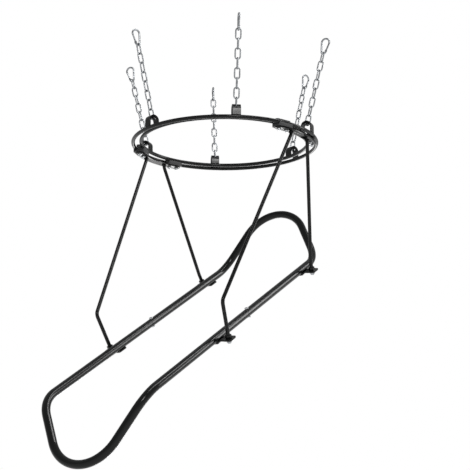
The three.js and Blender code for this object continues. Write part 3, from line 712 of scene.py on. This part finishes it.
def bent_strap():
    """Arch of strap with the slot for the last link through its crown."""
    line = arch_profile()
    slot_foot = PIN_PLACE.z - TRACK_HEIGHT - SLOT_FOOT_DROP
    half, slot = BRACKET_LENGTH / 2, BRACKET_SLOT_WIDTH / 2
    columns = [-half, -slot, slot, half]
    thick = BRACKET_STRAP / 2
    points, index = [], {}
    for row, (middle, out) in enumerate(line):
        for column, y in enumerate(columns):
            for layer, offset in enumerate((-thick, thick)):
                index[row, column, layer] = len(points)
                points.append(middle + out * offset + AHEAD * y)
    open_rows = {
        row for row in range(len(line) - 1)
        if min(line[row][0].z, line[row + 1][0].z) > slot_foot
        and max(abs(line[row][0].x), abs(line[row + 1][0].x)) < BRACKET_SLOT_LENGTH / 2 + thick / 2
    }
    cells = {
        (row, column) for row in range(len(line) - 1) for column in range(3)
        if not (column == 1 and row in open_rows)
    }
    faces = []
    for row, column in cells:
        corners = [(row, column), (row, column + 1), (row + 1, column + 1), (row + 1, column)]
        for layer in (0, 1):
            faces.append([index[r, c, layer] for r, c in corners])
        sides = [(row - 1, column, 0, 1), (row, column + 1, 1, 2), (row + 1, column, 2, 3),
                 (row, column - 1, 3, 0)]
        for next_row, next_column, a, b in sides:
            if (next_row, next_column) not in cells:
                (ra, ca), (rb, cb) = corners[a], corners[b]
                faces.append([index[ra, ca, 0], index[rb, cb, 0], index[rb, cb, 1], index[ra, ca, 1]])
    used = sorted({i for face in faces for i in face})
    renumber = {old: new for new, old in enumerate(used)}
    return [points[i] for i in used], [[renumber[i] for i in face] for face in faces]


def bracket_shape():
    """Strap, and the crown pin with the weld beads on both bars."""
    line = arch_profile()
    pin_rise = UP * (PIN_PLACE.z - TRACK_HEIGHT)
    reach = AHEAD * (BRACKET_LENGTH / 2 - BRACKET_STRAP / 2)
    half = AHEAD * (BRACKET_LENGTH / 2 - BEAD_RADIUS / 2)
    seams = [foot + out * offset for foot, out in (line[0], line[-1])
             for offset in (-BRACKET_STRAP / 2, BRACKET_STRAP / 2)]
    beads = [straight_bead(seam - half, seam + half, BEAD_RADIUS * STRAP_BEAD_SHARE) for seam in seams]
    return bent_strap(), merged(straight(pin_rise - reach, pin_rise + reach, PIN_DIAMETER), *beads)


def link_shape(wire):
    """One welded link, long along Z and flat in XZ, with the swelling of its weld."""
    bend = (LINK_WIDTH - wire) / 2
    rise = LINK_PITCH / 2 - (LINK_WIDTH / 2 - wire)
    stations, radii = [], []
    steps = ceil(pi / WIRE_STEP)
    for start, centre, weld in ((0, rise, LINK_WELD_SHARES), (pi, -rise, ())):
        for i in range(steps + 1):
            angle = start + pi * i / steps
            stations.append((side_way(angle) * bend + UP * centre, side_way(angle + pi / 2)))
            radii.append(wire / 2)
        for share, swell in weld:
            stations.append((Vector((-bend, 0, rise - 2 * rise * share)), -UP))
            radii.append(wire / 2 * swell)
    return swept(stations, radii, WIRE_SIDES, closed=True)


def chain_shape(count, wire):
    """Links on the crown pin, each a quarter turn from the last."""
    first = LINK_PITCH / 2 - PIN_DIAMETER / 2 - SEAT
    step = LINK_PITCH + LINK_SEAT
    link = link_shape(wire)
    return merged(*[
        moved(link, Matrix.Translation((0, 0, first + step * i)) @ Matrix.Rotation(i % 2 * pi / 2, 4, "Z"))
        for i in range(count)
    ])


def hook_measures(wire):
    """Centres of the hook's two bends above its foot, and how far its legs flare."""
    foot = HOOK_FOOT_RADIUS
    top = HOOK_LENGTH - wire - HOOK_TOP_RADIUS
    return foot, top, asin((HOOK_TOP_RADIUS - HOOK_FOOT_RADIUS) / (top - foot))


def hook_arc(centre, radius, start, end):
    """Bend of the hook's wire about a centre on Z."""
    steps = ceil(abs(end - start) / (WIRE_STEP / 2))
    stations = []
    for i in range(steps + 1):
        angle = start + (end - start) * i / steps
        stations.append((side_way(angle) * radius + UP * centre, side_way(angle - pi / 2)))
    return stations


def gate_places(wire):
    """Pivot and nose ends of the gate, and the way from one to the other."""
    foot, top, flare = hook_measures(wire)
    along = Vector((sin(flare), 0, cos(flare)))
    out = Vector((cos(flare), 0, -sin(flare)))
    pivot = out * HOOK_FOOT_RADIUS + UP * foot + along * GATE_PIVOT_RISE
    nose = out * HOOK_TOP_RADIUS + UP * top
    return pivot, nose, along


def disc(centre, half, radius):
    """Flat round cheek about Y."""
    return straight(centre - AHEAD * half, centre + AHEAD * half, radius * 2, DISC_SIDES)


def flat_bar(low, high, half, across, taper=1):
    """Flat bar between two places, whose width tapers to a share."""
    return skinned([
        [place - half - wide, place - half + wide, place + half + wide, place + half - wide]
        for place, wide in ((low, across), (high, across * taper))
    ])


def hook_shape(wire):
    """Pear-shaped hook bent from wire, with a thinned tang for the gate's rivet."""
    foot, top, flare = hook_measures(wire)
    pivot, _, along = gate_places(wire)
    base = hook_arc(foot, HOOK_FOOT_RADIUS, -flare, -pi + flare)
    crown = hook_arc(top, HOOK_TOP_RADIUS, pi + flare, -flare)
    neck = pivot - along * (wire * HOOK_NECK_SHARE)
    place, nose_way = crown[-1]
    body = [(neck + along * HOOK_END_TAPERS[0], -along), (neck, -along), *base, *crown,
            (place + nose_way * HOOK_END_TAPERS[1], nose_way)]
    tips = [wire / 2 * share for share in HOOK_END_SHARES]
    radii = [tips[0], *[wire / 2] * (len(body) - 2), tips[1]]
    across = along.cross(AHEAD).normalized() * (wire / 2 * TANG_WIDTH_SHARE)
    tang = flat_bar(neck - along * (wire * TANG_FOOT_SHARE), pivot, AHEAD * (TANG_THICKNESS / 2), across)
    eye = disc(pivot, TANG_THICKNESS / 2, wire / 2 * TANG_END_SHARE)
    return merged(swept(body, radii, WIRE_SIDES), tang, eye)


def gate_shape(wire):
    """Gate bar with a fork astride the tang, and its rivet."""
    pivot, nose, along = gate_places(wire)
    inside = TANG_THICKNESS / 2 + SEAT
    outside = inside + GATE_CHEEK
    start = pivot + along * (wire / 2 + SEAT)
    across = along.cross(AHEAD).normalized() * (GATE_DIAMETER / 2 * FORK_SHARE)
    shapes = [straight(start, nose - along * GATE_NOSE_GAP, GATE_DIAMETER, WIRE_SIDES, GATE_END_CHAMFER)]
    for side in (-1, 1):
        middle = AHEAD * (side * (inside + outside) / 2)
        shapes.append(disc(pivot + middle, GATE_CHEEK / 2, GATE_CHEEK_RADIUS))
        shapes.append(flat_bar(pivot + middle, start + middle + along * GATE_CHEEK,
                               AHEAD * (GATE_CHEEK / 2), across, FORK_TAPER))
    reach = AHEAD * (outside + RIVET_DOME)
    rivet = RIVET_DIAMETER * RIVET_HEAD_SHARE
    shapes.append(straight(pivot - reach, pivot + reach, rivet, WIRE_SIDES, RIVET_DOME))
    return merged(*shapes)


# Carriers and fasteners

def track_place(side, angle, height, inset=0.0):
    """Place on the track's middle line or inside it. The left carrier mirrors the right one."""
    reach = TRACK_RADIUS - inset
    return Vector((side * cos(angle) * reach, sin(angle) * reach, height))


def slider_bolt_shape():
    """Sunk head with a hexagon socket, shank, and a nut with a collar, about Z."""
    top = SHOE_TOP - BOLT_SINK
    floor = top - BOLT_SOCKET_DEPTH
    head = [circle(radius * MM, top - depth * MM) for radius, depth in BOLT_HEAD_PROFILE]
    head += [hex_ring(BOLT_SOCKET_WIDTH, top - FINE_STEP), hex_ring(BOLT_SOCKET_WIDTH, floor),
             circle(BOLT_SOCKET_FLOOR, floor)]
    nut_top = PLATE_BOTTOM - SEAT
    nut_low = nut_top - BOLT_NUT_HEIGHT
    shank = straight(UP * (nut_low - BOLT_TIP), UP * (top - BOLT_HEAD_HEIGHT + FINE_STEP), BOLT_DIAMETER,
                     DISC_SIDES, 2 * END_CHAMFER)
    nut = hex_nut(BOLT_NUT_WIDTH, nut_low + BOLT_NUT_HEIGHT * COLLAR_SHARE, nut_top)
    return merged(skinned(head), shank, nut, turned(in_millimetres(COLLAR_PROFILE, nut_low)))


# Chute

UPHILL = Vector((0, cos(CHUTE_SLOPE), sin(CHUTE_SLOPE)))
SQUARE = Vector((0, -sin(CHUTE_SLOPE), cos(CHUTE_SLOPE)))


def chute_place(across, along, above=0.0):
    """Place by the rails: across from the middle, uphill, and above the plane of the rails."""
    origin = Vector((0, 0, TRACK_HEIGHT - CHUTE_DROP))
    return origin + ACROSS * across + UPHILL * along + SQUARE * above


def loop_stations(joint, end):
    """Centreline of one chute half, from joint to joint round its bent end."""
    sense = copysign(1, end - joint)
    fall = UPHILL * (sense * cos(END_BEND)) + SQUARE * (sense * sin(END_BEND))
    half = RAIL_SPACING / 2
    apex = chute_place(0, end) + fall * (half / tan(END_LEG_ANGLE))
    corners = [chute_place(-half, joint), chute_place(-half, end), apex,
               chute_place(half, end), chute_place(half, joint)]
    return bent_stations(corners, [END_BEND_RADIUS, END_TIP_RADIUS, END_BEND_RADIUS], BEND_STEP)


def tube_shape(stations, diameter):
    """Bent tube with open, slightly rounded ends, and its bore closed out of sight."""
    radius = diameter / 2
    (start, first), (end, last) = stations[0], stations[-1]
    depths = [TUBE_MOUTH, TUBE_MOUTH - FINE_STEP, 0, 0, TUBE_EDGE]
    radii = [2 * FINE_STEP, radius - TUBE_WALL, radius - TUBE_WALL, radius - TUBE_EDGE, radius]
    path = [(start + first * depth, first) for depth in depths] + stations[1:-1]
    path += [(end - last * depth, last) for depth in depths[::-1]]
    return swept(path, [*radii, *[radius] * (len(stations) - 2), *radii[::-1]], TUBE_SIDES)


def wing_place(side, along):
    """Middle of a lug's hole on its top face, and the way of the rod's stud."""
    axis = SQUARE * cos(LUG_TILT) + ACROSS * (side * sin(LUG_TILT))
    return chute_place(side * (RAIL_SPACING / 2 + LUG_HOLE_REACH), along, -LUG_WING_DROP), axis


def lug_shape(side, along, tube):
    """Strap lug under a rail with its bent-up wing, round at the outer end, in its own place."""
    slope = tan(LUG_TILT)
    low = -tube / 2 - LUG_STRAP / 2 + LUG_BITE
    shoulder = tube / 2 + LUG_STRAP
    end = LUG_HOLE_REACH + LUG_END_REACH

    def rise(reach):
        return -LUG_WING_DROP - (reach - LUG_HOLE_REACH) * slope - LUG_STRAP / 2

    def inset(to_end, corner):
        return corner - sqrt(max(0.0, corner ** 2 - max(0.0, corner - to_end) ** 2))

    line = [Vector((-LUG_INSIDE_REACH, low, 0)), Vector((LUG_UNDER_REACH, low, 0)),
            Vector((shoulder, rise(shoulder), 0)), Vector((end, rise(end), 0))]
    stations = bent_stations(line, [LUG_BEND_RADIUS, LUG_BEND_RADIUS], LUG_BEND_STEP)
    path = [stations[0]]
    for (a, ta), (b, _) in zip(stations, stations[1:]):
        pieces = max(1, ceil((b - a).length / LUG_STEP))
        path += [(a.lerp(b, (i + 1) / pieces), ta) for i in range(pieces)]
    whole = sum((b[0] - a[0]).length for a, b in zip(path, path[1:]))
    rings, travelled = [], 0.0
    for number, (point, tangent) in enumerate(path):
        if number:
            travelled += (point - path[number - 1][0]).length
        up = Vector((-tangent.y, tangent.x, 0)) * (LUG_STRAP / 2)
        half = LUG_WIDTH / 2 - inset(travelled, LUG_INNER_CORNER) - inset(whole - travelled, LUG_CORNER)
        edge, share = min(EDGE_ROUNDING, half * LUG_EDGE_LIMIT), LUG_EDGE_SHARE
        rings.append([
            point + up * height + UP * reach for height, reach in (
                (-share, -half), (-1, edge - half), (-1, half - edge), (-share, half),
                (share, half), (1, half - edge), (1, edge - half), (share, -half))
        ])
    turn = Matrix(((side, 0, 0), (0, SQUARE.y, -UPHILL.y), (0, SQUARE.z, -UPHILL.z))).to_4x4()
    return moved(skinned(rings), Matrix.Translation(chute_place(side * RAIL_SPACING / 2, along)) @ turn)


def lug_beads(side, along, tube):
    """Weld beads where the two long edges of the strap meet the tube."""
    beads = []
    for end in (-1, 1):
        edge = along + end * (LUG_WIDTH / 2)
        arc = []
        for i in range(LUG_BEAD_STEPS + 1):
            angle = -pi / 2 + (i / LUG_BEAD_STEPS - LUG_BEAD_SHIFT) * LUG_BEAD_SPREAD
            arc.append(chute_place(
                side * (RAIL_SPACING / 2 + cos(angle) * tube / 2), edge, sin(angle) * tube / 2))
        stations = [(p, way(arc[max(0, i - 1)], arc[min(LUG_BEAD_STEPS, i + 1)])) for i, p in enumerate(arc)]
        beads.append(swept(stations, bead_radii(BEAD_RADIUS, LUG_BEAD_STEPS, **LUG_BEAD), BEAD_SIDES))
    return beads


def chute_half_shape(joint, end, lug_along, tube, spigot):
    """One half of the chute with its lugs."""
    shapes = [tube_shape(loop_stations(joint, end), tube)]
    for _, side in SIDES:
        shapes.append(lug_shape(side, lug_along, tube))
        shapes += lug_beads(side, lug_along, tube)
        if spigot:
            low, high = (chute_place(side * RAIL_SPACING / 2, -JOINT_REACH + SPIGOT_LENGTH * share)
                         for share in (-0.25, 1))
            shapes.append(straight(low, high, SPIGOT_DIAMETER, TUBE_SIDES, SPIGOT_CHAMFER))
    return merged(*shapes)


def rod_shape(side, angle, lug_along, stub, diameter):
    """Drop rod from the plate to its collar and stud, with the weld bead at its top."""
    head = track_place(side, angle, PLATE_BOTTOM - SEAT, ROD_TOP_INSET)
    top, axis = wing_place(side, lug_along)
    shoulder = head - UP * ROD_TOP_STUB
    corners = [head, shoulder, top + axis * stub, top + axis * (SEAT + COLLAR_HEIGHT / 2)]
    stations = bent_stations(corners, [ROD_BEND_RADIUS, ROD_BEND_RADIUS], BEND_STEP)
    place = upright(top, axis)
    collar = moved(hex_nut(COLLAR_WIDTH, SEAT, SEAT + COLLAR_HEIGHT), place)
    stud = straight(top - axis * (LUG_STRAP + FOOT_NUT_HEIGHT), top + axis * COLLAR_HEIGHT, STUD_DIAMETER)
    bead = moved(ring_bead(diameter / 2 + ROD_BEAD_REACH, BEAD_RADIUS * ROD_BEAD_SHARE),
                 Matrix.Translation(head - UP * (BEAD_RADIUS * ROD_BEAD_DROP_SHARE)))
    return merged(swept(stations, diameter / 2, BAR_SIDES), collar, stud, bead)


def dome_nut_shape():
    """Dome nut about Z whose seat is at the origin and whose dome hangs below it."""
    low, radius = -FOOT_NUT_HEIGHT, FOOT_NUT_DOME
    angles = [pi / 2 * i / DOME_STEPS for i in range(DOME_STEPS)]
    dome = [(radius * cos(a), low - radius * sin(a)) for a in angles]
    dome = [(radius, low + DOME_OVERLAP), *dome, (DOME_TIP, low - radius)]
    return merged(hex_nut(FOOT_NUT_WIDTH, low, 0), turned(dome))


def joint_screw_shape(tube):
    """Cross screw through the tube joint: pan head with a round recess above, hexagon nut below, about Z."""
    face = tube / 2 + SEAT
    low = -face - SCREW_NUT_HEIGHT
    head = turned(in_millimetres(SCREW_HEAD_PROFILE, face))
    shank = straight(UP * low, UP * (face + SCREW_SINK), SCREW_DIAMETER)
    return merged(head, shank, hex_nut(SCREW_NUT_WIDTH, low + SCREW_SINK, -face))


# Operators

class RETURN_OT_stage(Operator):
    """Camera at the photograph's angle, pale floor, plain background and soft light"""

    bl_idname = "basket_return.stage"
    bl_label = "Stage"

    def execute(self, context):
        stage = context.scene.return_stage
        context.scene.view_settings.view_transform = "Standard"
        origin = Vector((0, 0, TRACK_HEIGHT))
        add_camera(context, stage, origin)
        add_floor(stage)
        add_world(context)
        add_lights()
        return {"FINISHED"}


def add_camera(context, stage, origin):
    """Camera that looks up at the part from where the photograph was taken."""
    data = bpy.data.cameras.new("camera")
    data.lens = stage.lens
    data.sensor_width = SENSOR_WIDTH
    data.clip_end = CLIP_END
    camera = bpy.data.objects.new("camera", data)
    context.scene.collection.objects.link(camera)
    look = Vector((
        -sin(stage.azimuth) * cos(stage.pitch),
        cos(stage.azimuth) * cos(stage.pitch),
        sin(stage.pitch),
    ))
    camera.location = origin + Vector(stage.camera_place)
    camera.rotation_mode = "QUATERNION"
    camera.rotation_quaternion = look.to_track_quat("-Z", "Y")
    context.scene.camera = camera


def background_rays(tree, *kinds):
    """One for a ray of any of these kinds, else nothing."""
    rays = add_node(tree, "ShaderNodeLightPath").outputs
    share = rays[kinds[0]]
    for kind in kinds[1:]:
        share = maths(tree, "MAXIMUM", share, rays[kind])
    return share


def add_floor(stage):
    """Broad pale floor under the part: near white to the camera, in metal and through glass, under its shadows."""
    height = TRACK_HEIGHT - stage.floor_drop
    mesh = bpy.data.meshes.new("floor")
    corners = [(x * FLOOR_REACH, y * FLOOR_REACH, height) for x, y in ((-1, -1), (1, -1), (1, 1), (-1, 1))]
    mesh.from_pydata(corners, [], [[0, 1, 2, 3]])
    floor = bpy.data.objects.new("floor", mesh)
    bpy.context.scene.collection.objects.link(floor)
    material, tree, shader, place = new_material("matt_floor_paint")
    shader.inputs["Base Color"].default_value = (*stage.floor_colour, 1)
    shader.inputs["Emission Color"].default_value = (1, 1, 1, 1)
    seen = background_rays(tree, "Is Camera Ray", "Is Glossy Ray", "Is Transmission Ray")
    feed(tree, shader, Roughness=spread(tree, noise(tree, place, FLOOR_CLOUD), 0.85, 0.95),
         Emission_Strength=maths(tree, "MULTIPLY", seen, FLOOR_GLOW))
    mesh.materials.append(material)


def add_world(context):
    """White to the camera, in metal and through glass, with a soft shade over and under the horizon."""
    world = bpy.data.worlds.new("studio")
    world.use_nodes = True
    context.scene.world = world
    tree = world.node_tree
    place = add_node(tree, "ShaderNodeTexCoord").outputs["Generated"]
    height = add_node(tree, "ShaderNodeSeparateXYZ", None, Vector=place).outputs["Z"]
    shade = add_node(tree, "ShaderNodeMapRange", {
        "From Min": HORIZON_FROM, "From Max": HORIZON_TO, "To Min": 1, "To Max": SKY_SHADE,
        "interpolation_type": "SMOOTHSTEP",
    }, Value=maths(tree, "ABSOLUTE", height)).outputs["Result"]
    mirrored = maths(tree, "MULTIPLY", background_rays(tree, "Is Glossy Ray"), shade)
    seen = maths(tree, "MAXIMUM", background_rays(tree, "Is Camera Ray", "Is Transmission Ray"), mirrored)
    background = tree.nodes["Background"]
    background.inputs["Color"].default_value = (1, 1, 1, 1)
    feed(tree, background, Strength=maths(tree, "MAXIMUM", seen, SKY_DIM))


def add_lights():
    """Softboxes, all turned to a point under the track."""
    middle = UP * (TRACK_HEIGHT - LAMP_AIM_DROP)
    for name, (place, size, power) in LAMPS.items():
        offset = Vector(place)
        data = bpy.data.lights.new(name, "AREA")
        data.shape = "RECTANGLE"
        data.size, data.size_y = size
        data.energy = power
        lamp = bpy.data.objects.new(name, data)
        bpy.context.scene.collection.objects.link(lamp)
        lamp.location = middle + offset
        lamp.rotation_mode = "QUATERNION"
        lamp.rotation_quaternion = (-offset).to_track_quat("-Z", "Y")


class RETURN_OT_rings(Operator):
    """The two rolled rings of the track"""

    bl_idname = "basket_return.rings"
    bl_label = "Ring track"

    def execute(self, context):
        for name, radius, height in (("inner", INNER_RADIUS, INNER_HEIGHT), ("outer", OUTER_RADIUS, OUTER_HEIGHT)):
            add_piece(f"{name}_ring_bar", round_ring(radius, height, BAR_DIAMETER), COAT, "ring_track",
                      [f"{name}_ring"])
        return {"FINISHED"}


class RETURN_OT_brackets(Operator):
    """Six arches of bent strap, each with the pin that a chain hangs on"""

    bl_idname = "basket_return.brackets"
    bl_label = "Hanger brackets"

    def execute(self, context):
        strap, pin = bracket_shape()
        for i in range(HANGER_COUNT):
            nodes = [f"hanger_bracket_{i + 1}"]
            arch = add_piece(f"bracket_strap_{i + 1}", strap, COAT, "ring_track", nodes, spoke(i))
            round_edges(arch, STRAP_EDGE_ANGLE)
            add_piece(f"bracket_pin_{i + 1}", pin, COAT, "ring_track", nodes, spoke(i))
        return {"FINISHED"}


class RETURN_OT_chains(Operator):
    """Six chains of welded links"""

    bl_idname = "basket_return.chains"
    bl_label = "Chains"

    def execute(self, context):
        sizes = context.scene.return_sizes
        shape = chain_shape(sizes.link_count, sizes.link_wire)
        for i in range(HANGER_COUNT):
            add_piece(f"link_chain_{i + 1}", shape, ZINC, f"chain_{i + 1}", [f"chain_{i + 1}"], chain_line(i))
        return {"FINISHED"}


class RETURN_OT_hooks(Operator):
    """Six snap hooks with their sprung gates"""

    bl_idname = "basket_return.hooks"
    bl_label = "Snap hooks"

    def execute(self, context):
        wire = context.scene.return_sizes.hook_wire
        lift = Matrix.Translation((0, 0, CHAIN_REACH - LINK_TOP_WIRE - HOOK_SEAT - wire / 2))
        hook, gate = hook_shape(wire), gate_shape(wire)
        for i in range(HANGER_COUNT):
            place = chain_line(i) @ lift
            add_piece(f"hook_body_{i + 1}", hook, ZINC, f"hook_{i + 1}", [f"snap_hook_{i + 1}"], place)
            add_piece(f"hook_latch_{i + 1}", gate, ZINC, f"gate_{i + 1}", [f"hook_gate_{i + 1}"], place)
        return {"FINISHED"}


class RETURN_OT_carriers(Operator):
    """Carrier plates and nylon slider blocks"""

    bl_idname = "basket_return.carriers"
    bl_label = "Carriers"

    def execute(self, context):
        for side, _ in SIDES:
            dress_frame_part(f"carrier_plate_{side}", COAT)
            for end in ENDS:
                for kind in ("lower_block", "guide_shoe"):
                    dress_frame_part(f"{kind}_{side}_{end}", NYLON)
        return {"FINISHED"}


class RETURN_OT_bolts(Operator):
    """Slider bolts with their nuts"""

    bl_idname = "basket_return.bolts"
    bl_label = "Slider bolts"

    def execute(self, context):
        shape = slider_bolt_shape()
        turn = BOLT_SPACING / 2 / TRACK_RADIUS
        places = [-SLIDER_ANGLE - turn, -SLIDER_ANGLE + turn, SLIDER_ANGLE - turn, SLIDER_ANGLE + turn]
        for name, side in SIDES:
            for i, angle in enumerate(places):
                add_piece(f"sunk_bolt_{name}_{i + 1}", shape, FASTENER, "chute",
                          [f"slider_bolt_{name}_{i + 1}"], Matrix.Translation(track_place(side, angle, 0)))
        return {"FINISHED"}


class RETURN_OT_rods(Operator):
    """Four bent drop rods and the dome nuts under them"""

    bl_idname = "basket_return.rods"
    bl_label = "Drop rods"

    def execute(self, context):
        diameter = context.scene.return_sizes.rod
        ends = (("front", -ROD_TOP_ANGLE, -FRONT_LUG_REACH, FRONT_STUB),
                ("rear", ROD_TOP_ANGLE, REAR_LUG_REACH, REAR_STUB))
        for name, side in SIDES:
            for end, angle, along, stub in ends:
                add_piece(f"bent_rod_{name}_{end}", rod_shape(side, angle, along, stub, diameter), COAT, "chute",
                          [f"drop_rod_{name}_{end}"])
                top, axis = wing_place(side, along)
                add_piece(f"dome_nut_{name}_{end}", dome_nut_shape(), ZINC, "chute",
                          [f"foot_nut_{name}_{end}"], upright(top - axis * (LUG_STRAP + SEAT), axis))
        return {"FINISHED"}


class RETURN_OT_chute(Operator):
    """Both halves of the chute"""

    bl_idname = "basket_return.chute"
    bl_label = "Chute"

    def execute(self, context):
        tube = context.scene.return_sizes.tube
        upper = chute_half_shape(-JOINT_REACH, UPPER_RAIL_REACH, REAR_LUG_REACH, tube, False)
        lower = chute_half_shape(-JOINT_REACH - SEAT, -LOWER_RAIL_REACH, -FRONT_LUG_REACH, tube, True)
        add_piece("upper_rails", upper, COAT, "chute", ["chute_upper_half"])
        add_piece("lower_rails", lower, COAT, "chute", ["chute_lower_half"])
        return {"FINISHED"}


class RETURN_OT_screws(Operator):
    """Cross screws of the two tube joints"""

    bl_idname = "basket_return.screws"
    bl_label = "Joint screws"

    def execute(self, context):
        shape = joint_screw_shape(context.scene.return_sizes.tube)
        for name, side in SIDES:
            place = chute_place(side * RAIL_SPACING / 2, -JOINT_REACH + SCREW_INSET)
            add_piece(f"pan_screw_{name}", shape, FASTENER, "chute",
                      [f"joint_screw_{name}"], upright(place, SQUARE))
        return {"FINISHED"}


class RETURN_PT_panel(Panel):
    """Lists the parts of the return"""

    bl_idname = "RETURN_PT_panel"
    bl_label = "Basketball Return"
    bl_space_type = "VIEW_3D"
    bl_region_type = "UI"
    bl_category = "Return"

    def draw(self, context):
        scene = context.scene
        for group in (scene.return_sizes, scene.return_finish, scene.return_stage):
            box = self.layout.box()
            for name in group.bl_rna.properties.keys():
                if name not in ("rna_type", "name"):
                    box.prop(group, name)
        for operator in OPERATORS:
            self.layout.operator(operator.bl_idname)


OPERATORS = (
    RETURN_OT_stage, RETURN_OT_rings, RETURN_OT_brackets, RETURN_OT_chains, RETURN_OT_hooks,
    RETURN_OT_carriers, RETURN_OT_bolts, RETURN_OT_rods, RETURN_OT_chute, RETURN_OT_screws,
)
GROUPS = (("return_sizes", ReturnSizes), ("return_finish", ReturnFinish), ("return_stage", ReturnStage))


def register():
    for _, group in GROUPS:
        bpy.utils.register_class(group)
    for name, group in GROUPS:
        setattr(bpy.types.Scene, name, PointerProperty(type=group))
    for operator in OPERATORS:
        bpy.utils.register_class(operator)
    bpy.utils.register_class(RETURN_PT_panel)


def unregister():
    bpy.utils.unregister_class(RETURN_PT_panel)
    for operator in reversed(OPERATORS):
        bpy.utils.unregister_class(operator)
    for name, group in reversed(GROUPS):
        delattr(bpy.types.Scene, name)
        bpy.utils.unregister_class(group)


def main():
    """Registers the add-on and makes every piece in order."""
    register()
    for operator in OPERATORS:
        module, call = operator.bl_idname.split(".")
        getattr(getattr(bpy.ops, module), call)()


if __name__ == "__main__":
    main()
